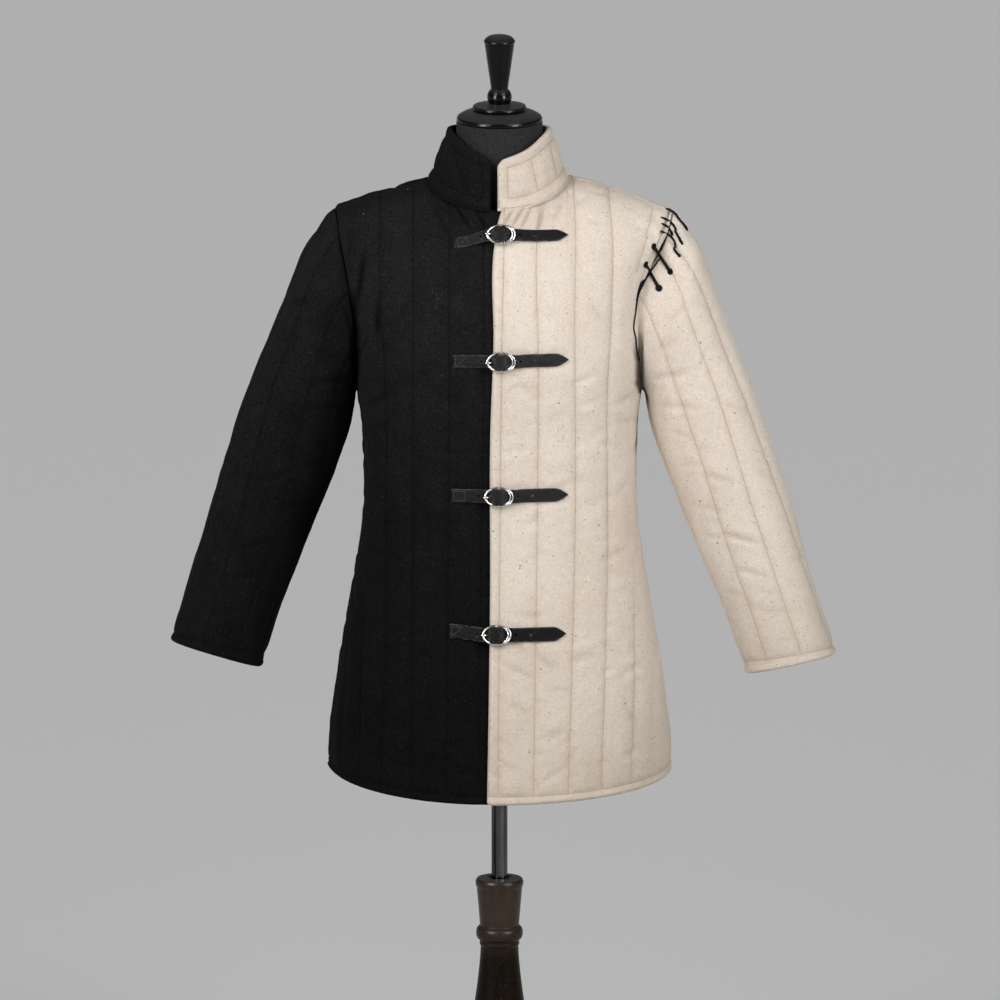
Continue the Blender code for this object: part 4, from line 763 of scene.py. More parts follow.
def puckers(h, U, W, lines, rng, spacing=(0.022, 0.050), deep=(0.00025, 0.00080), ends=(0.03, 0.03)):
    """Small pulls across the stitched lines, uneven in place, length and depth."""
    low, high = W.min() + ends[0], W.max() - ends[1]
    for at, strong in lines:
        at = np.broadcast_to(at, U.shape)
        strong = np.broadcast_to(strong, U.shape)
        w0 = low + rng.uniform(0, spacing[1])
        while w0 < high:
            row = int(np.argmin(np.abs(W[:, W.shape[1] // 2] - w0)))
            a, b = np.searchsorted(W[:, W.shape[1] // 2], (w0 - 0.030, w0 + 0.030))
            long, wide, depth = rng.uniform(0.007, 0.019), rng.uniform(0.0028, 0.0052), rng.uniform(*deep) * rng.uniform(0.35, 1.0)
            u0 = at[row, 0] + rng.choice((-1, 1)) * long * rng.uniform(0.2, 0.75)
            if strong[row, 0] > 0.45 and b > a:
                h[a:b] += crease(U[a:b], W[a:b], u0, w0, rng.uniform(-0.30, 0.30), long, wide, depth)
            w0 += rng.uniform(*spacing)
    return h


def placed(h, p, creases, facing=-1):
    """Creases at places read off the front (or the back): x, height as seen, tilt, half length, half width, depth; all in mm and degrees."""
    look = p[..., 0] * 1000, ((p[..., 2] - 1.033) * 0.9781 - facing * 0.2079 * p[..., 1]) * 1000
    side_on = ease(-0.004, 0.012, facing * p[..., 1])
    for x, z, tilt, long, wide, deep in creases:
        near = (np.abs(look[0] - x) < 2.6 * long + 4 * wide) & (np.abs(look[1] - z) < 2.6 * long + 4 * wide)
        if near.any():
            rows, cols = np.where(near.any(1))[0], np.where(near.any(0))[0]
            at = np.ix_(rows, cols)
            h[at] += side_on[at] * crease(look[0][at], look[1][at], x, z, math.radians(tilt), long, wide, deep / 1000)
    return h


def px(*items):
    """Creases from two end points in the photo: x0, y0, x1, y1, half width in mm, depth in mm."""
    out = []
    for x0, y0, x1, y1, wide, deep in items:
        a, b = np.array(((x0 - 500.5) * 1.36, (500 - y0) * 1.36)), np.array(((x1 - 500.5) * 1.36, (500 - y1) * 1.36))
        m, d = (a + b) / 2, b - a
        out.append((m[0], m[1], math.degrees(math.atan2(d[1], d[0])), np.linalg.norm(d) / 2, wide, deep))
    return out


def row_lengths(p):
    U = np.concatenate([np.zeros((len(p), 1)), np.cumsum(np.linalg.norm(np.diff(p, axis=1), axis=-1), axis=1)], 1)
    W = np.concatenate([np.zeros((1, p.shape[1])), np.cumsum(np.linalg.norm(np.diff(p, axis=0), axis=-1), axis=0)], 0)
    return U, W


def under_straps(p, h, most=0.0002):
    """Padding pressed flat where straps, buckles and chapes lie on it."""
    x, z = p[..., 0], p[..., 2]
    for f in FASTENINGS:
        zc = f["z"] - f["drop"] * (1 - ease(f["left"], f["x"] - 0.012, x))
        off = np.maximum(np.abs(z - zc) - STRAP_W / 2 - 0.001, np.maximum(f["left"] - 0.001 - x, x - f["tip"] - 0.001))
        m = (1 - ease(0, 0.008, off)) * (p[..., 1] < 0)
        h = h * (1 - m) + np.minimum(h, most) * m
    return h


def stitches(name, p, n, material, pitch=0.0042, long=0.0029, wide=0.00042, high=0.00040, seed=1, group=None):
    """Thread lying along a line of points: one small lozenge a stitch."""
    step = np.concatenate([[0], np.cumsum(np.linalg.norm(np.diff(p, axis=0), axis=1))])
    if step[-1] < 2 * pitch:
        return
    rng = np.random.default_rng(seed)
    at = np.arange(pitch * 0.5, step[-1] - pitch * 0.4, pitch)
    at = at + rng.uniform(-0.10, 0.10, len(at)) * pitch
    pick = lambda v, s: np.stack([np.interp(s, step, v[:, k]) for k in range(3)], -1)
    c, nn = pick(p, at), unit(pick(n, at))
    t = unit(pick(p, np.minimum(at + 0.001, step[-1])) - pick(p, np.maximum(at - 0.001, 0)))
    s = unit(np.cross(nn, t)) + 0
    t = unit(t + s * rng.uniform(-0.10, 0.10, (len(at), 1)))
    long = long * rng.uniform(0.85, 1.1, (len(at), 1))
    v = np.stack([c - t * long / 2 - nn * 0.00012, c + t * long / 2 - nn * 0.00012, c + s * wide, c - s * wide, c + nn * high, c - nn * high], 1)
    f = np.array([(0, 3, 4), (3, 1, 4), (1, 2, 4), (2, 0, 4), (3, 0, 5), (1, 3, 5), (2, 1, 5), (0, 2, 5)])
    faces = (np.arange(len(at)) * 6)[:, None, None] + f[None]
    group.append((v.reshape(-1, 3), faces.reshape(-1, 3)))


def sew(name, group, material, slot):
    if not group:
        return
    base, verts, tris = 0, [], []
    for v, f in group:
        verts.append(v)
        tris.append(f + base)
        base += len(v)
    build(name, np.concatenate(verts), tris=np.concatenate(tris), materials=[material], slot=slot)


def cut_of(p, ring=False):
    """Width, length and area of the flat cloth that a grid of points stands for, before it was quilted and hung."""
    q = np.concatenate([p, p[:, :1]], 1) if ring else p
    U, W = row_lengths(q)
    a, b = q[1:, :-1] - q[:-1, :-1], q[:-1, 1:] - q[:-1, :-1]
    c, d = q[:-1, 1:] - q[1:, 1:], q[1:, :-1] - q[1:, 1:]
    area = (np.linalg.norm(np.cross(a, b), axis=-1).sum() + np.linalg.norm(np.cross(c, d), axis=-1).sum()) / 2
    return float(U[:, -1].max()), float(W[-1].max()), float(area)


def sheet(p, ring=False):
    """The piece is cloth hung on the form: works out its cut from the surface that it was laid out on, but does nothing
    with it.
    """
    width, length, area = cut_of(p, ring)
    width, length = math.ceil(width * 1000) / 1000, math.ceil(length * 1000) / 1000


def surface_normals(p, out, ring=False):
    """Normals of a displaced grid, on the side of the given ones."""
    du = (np.roll(p, -1, 1) - np.roll(p, 1, 1)) if ring else np.gradient(p, axis=1)
    n = unit(np.cross(du, np.gradient(p, axis=0)))
    return n * np.sign((n * out).sum(-1, keepdims=True))


# x of the stitched lines by height, then the outer lines as shares of what is left up to the side
T = lambda z, x: dict(z=z, x=x)
CREAM_LINES = [
    T((0.645, 1.173, 1.284, 1.410), (-0.0034, 0.0007, 0.0020, 0.0048)),
    T((0.645, 1.173, 1.284, 1.4095, 1.458), (0.0449, 0.0510, 0.0510, 0.0492, 0.0537)),
    T((0.652, 0.978, 1.340, 1.444, 1.4996), (0.0918, 0.1013, 0.1013, 0.1019, 0.0986)),
    T((0.659, 0.978, 1.2007, 1.340, 1.444, 1.4926), (0.1375, 0.1462, 0.1455, 0.1516, 0.1516, 0.1466)),
]
BLACK_LINES = [
    T((0.672, 1.09, 1.20, 1.42), (0.0296, 0.0243, 0.0228, 0.0228)),
    T((0.672, 1.20, 1.42), (0.0751, 0.0698, 0.0698)),
    T((0.672, 1.20, 1.42), (0.1223, 0.1191, 0.1191)),
    T((0.672, 0.95, 1.20, 1.42, 1.48), (0.1629, 0.1560, 0.1560, 0.1650, 0.1640)),
]
BACK_LINES = [
    T((0.65, 1.10, 1.48), (0.0520, 0.0470, 0.0490)),
    T((0.65, 1.05, 1.48), (0.1020, 0.0930, 0.0960)),
    T((0.65, 1.05, 1.30, 1.48), (0.1500, 0.1370, 0.1410, 0.1440)),
]
OUTER = {
    "front": [T((0.66, 0.839, 1.00, 1.186, 1.36, 1.40, 1.45), (0.23, 0.31, 0.48, 0.56, 0.60, 0.67, 0.63)), T((0.66, 0.80, 0.90, 1.00), (0.50, 0.58, 0.78, 0.90)), T((0.66, 0.76, 0.85, 0.95), (0.76, 0.82, 0.92, 0.96))],
    "back": [T((0.66, 0.839, 1.00, 1.186, 1.45), (0.25, 0.32, 0.48, 0.56, 0.60)), T((0.66, 0.80, 0.90, 1.00), (0.50, 0.58, 0.76, 0.89)), T((0.66, 0.76, 0.85, 0.95), (0.76, 0.82, 0.92, 0.96))],
}
OUTER_STRONG = [T((0.6, 0.88, 0.95, 1.355, 1.385, 1.5), (0.80, 0.80, 0.0, 0.0, 0.70, 0.70)), T((0.6, 0.86, 0.95, 1.5), (0.44, 0.44, 0.0, 0.0)), T((0.6, 0.76, 0.81, 1.5), (0.30, 0.30, 0.0, 0.0))]

LOW_MM = np.array([0, 0.5, 1.2, 2.2, 3.4, 4.8, 6.4, 8.2, 9.8, 11.0, 12.0, 13.0, 14.3, 16.0, 18.5, 22.0])
LOW = np.concatenate([LOW_MM / 545, np.linspace(22.0, 545, 130)[1:] / 545])
HIGH = np.concatenate([2 / np.pi * np.arcsin(np.sqrt(np.linspace(0, 0.5, 37))), np.linspace(0.5, 1.0, 62)[1:]])
BAND = 0.012


def spaced(n, kind="both"):
    t = np.arange(n) / n
    if kind == "first":
        return t ** 1.6
    if kind == "last":
        return 1 - (1 - t) ** 1.7
    return 0.55 * t + 0.45 * (1 - np.cos(np.pi * t)) / 2


FOLDS = {
    ("front", 1): px((504, 226, 512, 212, 2.4, 2.4), (512, 228, 524, 209, 2.6, 2.8), (521, 229, 532, 208, 2.5, 2.4), (538, 232, 544, 206, 2.6, 2.0), (553, 222, 562, 204, 3.6, 0.9),
                     (512, 640, 526, 652, 6.0, 1.1), (536, 655, 556, 668, 6.0, 1.0), (504, 700, 530, 712, 6.0, 0.9), (545, 735, 566, 728, 6.5, 0.9), (575, 660, 596, 652, 6.5, 0.8), (516, 612, 540, 616, 6.0, 0.7), (575, 205, 590, 196, 4.0, 0.6),
                     (503, 663, 533, 676, 4.5, 1.0), (548, 690, 572, 688, 4.5, 0.7), (548, 420, 566, 410, 4.0, 0.5), (600, 560, 626, 548, 5.0, 0.7), (586, 300, 604, 322, 5.0, 0.5),
                     (614, 405, 634, 392, 5.0, 1.0), (608, 425, 634, 418, 4.5, 0.8), (598, 640, 618, 652, 5.0, 0.6), (520, 560, 540, 552, 4.0, 0.5), (560, 770, 580, 742, 5.0, 0.5),
                     (622, 700, 640, 730, 5.0, 0.6), (500, 470, 516, 462, 4.0, 0.5), (505, 392, 522, 380, 4.0, 0.5), (560, 470, 590, 476, 5.0, 0.4), (640, 345, 652, 330, 4.5, 0.6)),
    ("front", -1): px((456, 208, 471, 230, 2.8, 2.6), (476, 211, 487, 230, 2.6, 2.4), (466, 211, 478, 229, 2.5, 1.5), (436, 212, 448, 234, 3.7, 1.6), (366, 405, 392, 394, 5.0, 1.2), (366, 428, 396, 420, 4.5, 0.9),
                      (400, 560, 372, 548, 5.0, 0.9), (420, 650, 440, 662, 5.0, 0.8), (452, 540, 470, 552, 4.5, 0.7), (390, 690, 372, 722, 5.0, 0.8), (440, 745, 460, 738, 5.0, 0.7),
                      (410, 300, 396, 324, 5.0, 0.7), (360, 330, 348, 314, 4.5, 0.8), (450, 400, 468, 390, 4.5, 0.6), (430, 470, 408, 478, 5.0, 0.6),
                      (364, 256, 359, 298, 4.2, 3.2), (378, 298, 377, 342, 4.4, 2.4), (362, 352, 372, 330, 4.5, 1.6), (352, 236, 350, 262, 4.5, 0.9)),
    ("back", 1): px((370, 400, 395, 392, 5.0, 1.0), (366, 425, 400, 418, 5.0, 0.8), (380, 560, 410, 548, 5.0, 0.8), (440, 640, 464, 652, 5.0, 0.7), (462, 225, 470, 206, 3.5, 0.9),
                    (436, 222, 446, 204, 3.5, 0.8), (400, 300, 384, 330, 5.0, 0.6), (372, 700, 392, 722, 5.0, 0.7), (452, 470, 470, 462, 4.5, 0.6), (420, 730, 440, 745, 5.0, 0.6)),
    ("back", -1): px((634, 402, 606, 392, 5.0, 1.1), (634, 426, 604, 417, 5.0, 0.8), (590, 560, 616, 548, 5.0, 0.8), (540, 646, 562, 654, 5.0, 0.7), (538, 224, 530, 206, 3.5, 0.9),
                     (564, 222, 556, 204, 3.5, 0.8), (604, 305, 622, 334, 5.0, 0.6), (622, 702, 604, 726, 5.0, 0.7), (548, 466, 530, 474, 4.5, 0.6), (580, 732, 560, 746, 5.0, 0.6)),
}


INTO = np.array([0.0, 1.0, 0.0])


def crevice(p):
    """How far the cloth turns in beside the arm, low on the front of the armhole."""
    z = p[..., 2]
    return 0.0190 * ease(1.120, 1.170, z) * (1 - ease(1.228, 1.300, z)) * ease(-0.010, 0.020, -p[..., 1])


def cloth_panel(side, face):
    name = face + "_" + TONE[side]
    tables = (CREAM_LINES if side > 0 else BLACK_LINES) if face == "front" else BACK_LINES
    if face == "back":
        start = lambda v: 0.0004 + 0 * v
    elif side > 0:
        start = front_edge
    else:
        start = lambda v: -front_edge(v) - OVERLAP
    kinds = ["first" if face == "front" else "both"] + ["both"] * (len(tables) + 2) + ["last"]
    counts = ([13, 22, 22, 22, 17, 14, 10, 12] if side > 0 else [16, 22, 22, 20, 15, 13, 9, 12]) if face == "front" else [20, 20, 20, 20, 16, 11, 12]
    chan = np.concatenate([np.full(n, k) for k, n in enumerate(counts)] + [[len(counts) - 1]])
    frac = np.concatenate([spaced(n, kind) for n, kind in zip(counts, kinds)] + [[1.0]])
    marks = np.cumsum(counts)[:-1]

    def angle(v):
        v = np.broadcast_to(v, (np.shape(v)[0], len(chan)))
        zz = middle_z(v)
        last = alpha_arm(side, v) - SEAM / 0.19 - vent(side, v)
        first = alpha_at(side, face, start(v), v)
        inner = [alpha_at(side, face, along(t, "x", zz), v) for t in tables]
        outer = [inner[-1] + (last - inner[-1]) * along(t, "x", zz) for t in OUTER[face]]
        b = np.stack([first, *inner, *outer, last], 0)
        cols = np.arange(len(chan))[None, :]
        rows = np.arange(len(v))[:, None]
        lo, hi = b[chan[None, :], rows, cols], b[chan[None, :] + 1, rows, cols]
        return lo + frac[None, :] * (hi - lo)

    top = np.full((1, len(chan)), 2.0)
    for _ in range(14):
        a = angle(top)
        half, _, n = section(side, face, top)
        x = half * np.sin(a) / (np.abs(np.sin(a)) ** n + np.abs(np.cos(a)) ** n) ** (1 / n)
        top = 0.5 * top + 0.5 * np.minimum(neck_v(side, face, x), 2 - 1e-3)
    r = HIGH[1:, None]
    w = np.where(r <= NECK_ROWS, r, NECK_ROWS + (r - NECK_ROWS) / (1 - NECK_ROWS) * (top - 1 - NECK_ROWS))
    low = np.repeat(LOW[:, None], len(chan), 1)
    if side > 0 and face == "front":
        p0 = body(side, face, angle(low[:1]), low[:1])[0]
        s = np.concatenate([[0], np.cumsum(np.linalg.norm(np.diff(p0, axis=0), axis=1))])
        cut = 0.0055 * (1 - np.sqrt(np.clip(1 - (1 - np.minimum(s, 0.0055) / 0.0055) ** 2, 0, 1)))
        low = low + cut[None, :] / 0.545 * np.clip(1 - low * 545 / 12.0, 0, 1)
    v = np.concatenate([low, 1 + w])
    a = angle(v)
    p, n = body(side, face, a, v), body_normal(side, face, a, v)
    U, W = row_lengths(p)
    to_top, to_side = W[-1:] - W, U[:, -1:] - U
    z_mid = middle_z(v)
    strengths = [np.ones((len(v), 1))] * len(tables) + [along(t, "x", z_mid[:, marks[len(tables) + k]][:, None]) * (0.62 if side > 0 and face == "front" else 1.0 if side > 0 or k else 1 - ease(1.0, 1.1, z_mid[:, marks[len(tables) + k]][:, None])) for k, t in enumerate(OUTER_STRONG)]
    above_band = ease(0.0105, 0.0130, W)
    lines = [(U[:, m][:, None], s * above_band) for m, s in zip(marks, strengths)]
    cross = [(W - BAND, np.ones_like(W))]
    seed = {("front", 1): 11, ("front", -1): 23, ("back", 1): 37, ("back", -1): 51}[face, side]
    rng = np.random.default_rng(seed)
    high = 0.0028 if side > 0 else 0.0036
    h, near = quilt(U, lines, cross, high, seed, W)
    near = np.where(W < 0.0108, np.maximum(99 * (1 - above_band), 0) + np.abs(W - BAND) * 1000, near)
    h = h - 0.0011
    h = puckers(h, U, W, [(l[0], l[1]) for l in lines], rng, deep=(0.0005, 0.0015))
    for _ in range(90):
        u0, w0 = rng.uniform(0.01, U.max() - 0.02), rng.uniform(0.03, W.max() - 0.03)
        h = h + crease(U, W, u0, w0, rng.uniform(-0.7, 0.7), rng.uniform(0.010, 0.024), rng.uniform(0.0045, 0.0080), rng.uniform(0.0006, 0.0017))
    h = h + 0.0007 * fbm(p[..., 0] / 0.085 + 3.1 * side, p[..., 2] / 0.11, seed + 30, 2)
    flare = (1 - ease(0.66, 0.98, p[..., 2]))
    h = h + 0.0016 * flare * noise(U / 0.075 + 0.4 * seed, p[..., 2] / 0.35, seed + 41)
    before = h.copy()
    h = placed(h, p, FOLDS[face, side], -1 if face == "front" else 1)
    # how deep the creases press in, for painted shade in their troughs
    painted_crease_shade = np.clip((before - h) / 0.0022, 0, 1)
    h = under_straps(p, h) if face == "front" else h
    if side < 0 and face == "front":
        d = p[..., 0] - front_edge(v)
        m = ease(-0.018, -0.003, d)
        h = h * (1 - m) + np.minimum(h, -0.0003) * m
    # the seams draw in, the open edges turn over
    thick = WALL - HEAD_THIN * ease(1.15, 1.38, v) * ease(alpha_arm(side, v) - 0.30, alpha_arm(side, v) - 0.08, a)
    seam_top = 1 - ease(0.0, 0.009, to_top)
    h = h * (1 - 0.6 * seam_top)
    open_side = (VENT - p[..., 2] > 0.004)
    drop = rolled(W, 0.0048, 0.9)
    drop = np.minimum(drop, rolled(to_side, 0.0048, 1.0) * np.where(open_side, 0.9, np.where(v > 1.0, 0.45, 0.30)))
    if face == "front":
        drop = np.minimum(drop, rolled(U, 0.0048, 0.9))
    else:
        drop = np.minimum(drop, rolled(U, 0.0042, 0.30))
    drop = np.minimum(drop, rolled(to_top, 0.0030, 0.10))
    h = h * (0.35 + 0.65 * ease(0, 0.006, np.minimum(np.minimum(W, to_side), np.maximum(U, 0.0)))) + drop * (thick - 0.0006)
    up = lift(side, face, side * p[..., 0], v)
    hollow = crevice(p) * np.exp(-(to_side / 0.0075) ** 1.6)
    outer = p + n * (up + h)[..., None] + hollow[..., None] * INTO
    inner_cols = np.unique(np.concatenate([[0, 3, 6, 9], np.arange(12, len(chan) - 10, 4), np.arange(len(chan) - 9, len(chan), 3), [len(chan) - 1]]))
    rows = len(v)
    inner_rows = np.unique(np.concatenate([[0, 2, 5, 9, 13], np.arange(17, rows - 8, 4), [rows - 6, rows - 3, rows - 1]]))
    sub = np.ix_(inner_rows, inner_cols)
    inner = (p + n * (up - thick)[..., None] + hollow[..., None] * INTO)[sub]
    z = p[..., 2]
    if side > 0:
        shade = (1 - ease(0.007 + 0.006 * (1 - ease(1.20, 1.24, z)), 0.022 + 0.008 * (1 - ease(1.20, 1.24, z)), to_side)) * ease(1.075, 1.140, z) * (1 - ease(1.240, 1.285, z))
    else:
        shade = (1 - ease(0.006, 0.022, to_side)) * ease(1.095, 1.150, z) * (1 - ease(1.300, 1.360, z))
        shade = np.maximum(shade, (1 - ease(0.0006, 0.0034, to_side)) * ease(1.28, 1.32, z))
        shade = np.maximum(shade, 0.20 * (1 - ease(0.98, 1.32, z)))
    # the cloth within about 6 cm of the neckline gets painted shade
    shell(name, outer, inner, list(inner_rows), list(inner_cols), np.stack([side * U, W], -1), {"line_mm": near, "shade": shade, "painted_crease_shade": painted_crease_shade, "dust_and_painted_shade": 1 - ease(0.012, 0.062, to_top)}, materials=[CLOTH[side]], slot=TONE[side] + "_cloth")
    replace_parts(made[name], name)
    nn = surface_normals(outer, n)
    group = []
    band_row = 10
    for k, m in enumerate(marks):
        keep = np.where((np.broadcast_to(strengths[k], (rows, 1))[:, 0] > 0.45) & (np.arange(rows) >= band_row) & (np.arange(rows) < rows - 1))[0]
        stitches(name, outer[keep, m], nn[keep, m], THREAD[side], seed=seed + k, group=group)
    first = 1 if face == "front" else 0
    cols = np.arange(first + (8 if face == "front" else 0), len(chan) - 1)
    stitches(name, outer[band_row, cols], nn[band_row, cols], THREAD[side], seed=seed + 77, group=group)
    sew("stitches_" + name, group, THREAD[side], TONE[side] + "_cloth")
    sheet(p)
    return outer, nn


panels = {(side, face): cloth_panel(side, face) for side in (-1, 1) for face in ("front", "back")}

# ---------------------------------------------------------------- sleeves
R = lambda run, turn: dict(run=run, turn=turn)
TWO = 2 * np.pi
SLEEVE_LINES = {
    1: [R((0, 0.5, 1), (3.82, 3.82, 3.82)), R((0, 0.5, 1), (4.55, 4.48, 4.40)), R((0, 0.5, 1), (5.25, 5.10, 4.95)), R((0, 0.5, 1), (6.05, 5.80, 5.50)),
        R((0, 0.19, 0.26, 0.36, 0.50, 0.60, 0.69, 0.79, 0.88, 1), tuple(TWO + t for t in (0.72, 0.69, 0.66, 0.66, 0.62, 0.57, 0.47, 0.44, 0.33, 0.28))),
        R((0, 0.08, 0.18, 0.27, 0.44, 0.62, 0.83, 1), tuple(TWO + t for t in (0.97, 1.034, 1.146, 1.173, 1.175, 1.21, 1.236, 1.275))),
        R((0, 0.1, 0.22, 0.40, 0.55, 0.70, 0.85, 1), tuple(TWO + t for t in (1.50, 1.75, 1.87, 1.86, 1.85, 1.925, 1.98, 2.06))),
        R((0, 0.5, 1), (TWO + 2.80, TWO + 2.84, TWO + 2.86))],
    -1: [R((0, 0.5, 1), (3.85, 3.85, 3.85)), R((0, 1), (4.50, 4.50)), R((0, 1), (5.15, 5.15)), R((0, 1), (5.75, 5.80)), R((0, 1), (6.43, 6.73)),
         R((0, 0.08, 0.18, 0.25, 0.34, 0.45, 0.54, 0.62, 1), tuple(TWO + t for t in (0.72, 0.76, 0.80, 0.85, 0.88, 0.944, 1.01, 1.07, 1.20))),
         R((0, 0.09, 0.22, 0.33, 0.43, 0.54, 0.62, 1), tuple(TWO + t for t in (1.40, 1.44, 1.54, 1.58, 1.63, 1.70, 1.80, 1.95))),
         R((0, 0.49, 0.57, 1), tuple(TWO + t for t in (2.10, 2.25, 2.40, 2.60)))],
}
SLEEVE_FOLDS = {
    1: px((724, 534, 761, 543, 4.5, 1.9), (736, 568, 765, 575, 4.5, 1.5), (761, 590, 776, 593, 4.0, 1.0), (706, 474, 735, 482, 4.5, 1.3), (697, 447, 711, 449, 4.0, 0.9),
          (681, 463, 699, 464, 4.0, 1.0), (708, 536, 722, 537, 4.0, 1.1), (655, 352, 678, 338, 4.5, 1.1), (652, 378, 690, 372, 5.0, 1.2), (660, 404, 700, 408, 5.0, 1.2),
          (672, 430, 694, 438, 4.5, 1.0), (700, 505, 722, 512, 4.5, 0.9), (746, 606, 790, 612, 5.0, 0.9), (716, 400, 744, 410, 5.0, 0.7), (690, 300, 714, 312, 5.0, 0.6),
          (776, 640, 800, 634, 4.5, 0.7), (752, 470, 774, 480, 4.5, 0.6), (786, 560, 806, 556, 4.5, 0.6), (726, 590, 742, 596, 4.5, 0.9), (668, 322, 684, 306, 4.5, 0.7)),
    -1: px((240, 548, 276, 540, 4.5, 1.7), (232, 578, 262, 572, 4.5, 1.4), (262, 478, 296, 470, 4.5, 1.3), (288, 448, 306, 446, 4.0, 0.9), (300, 464, 318, 466, 4.0, 1.0),
           (316, 350, 342, 360, 4.5, 1.2), (310, 384, 346, 378, 5.0, 1.3), (300, 410, 340, 406, 5.0, 1.2), (282, 508, 304, 502, 4.5, 0.9), (206, 612, 250, 606, 5.0, 0.9),
           (256, 404, 284, 396, 5.0, 0.8), (286, 304, 310, 296, 5.0, 0.7), (224, 478, 246, 470, 4.5, 0.7), (196, 560, 214, 566, 4.5, 0.7), (258, 596, 274, 590, 4.5, 0.9),
           (318, 322, 334, 306, 4.5, 0.8)),
}
RUN = np.concatenate([np.array([0, 0.0008, 0.002, 0.0038, 0.006, 0.009, 0.0125, 0.0165, 0.021, 0.026]), np.linspace(0.032, 0.955, 132),
                      np.array([0.9615, 0.9680, 0.9735, 0.9775, 0.9805, 0.9835, 0.9855, 0.9875, 0.9895, 0.9915, 0.9935, 0.9955, 0.9972, 0.9985, 0.9994, 1.0])])
CUFF_ROW = int(np.argmin(np.abs(RUN - 0.9835)))


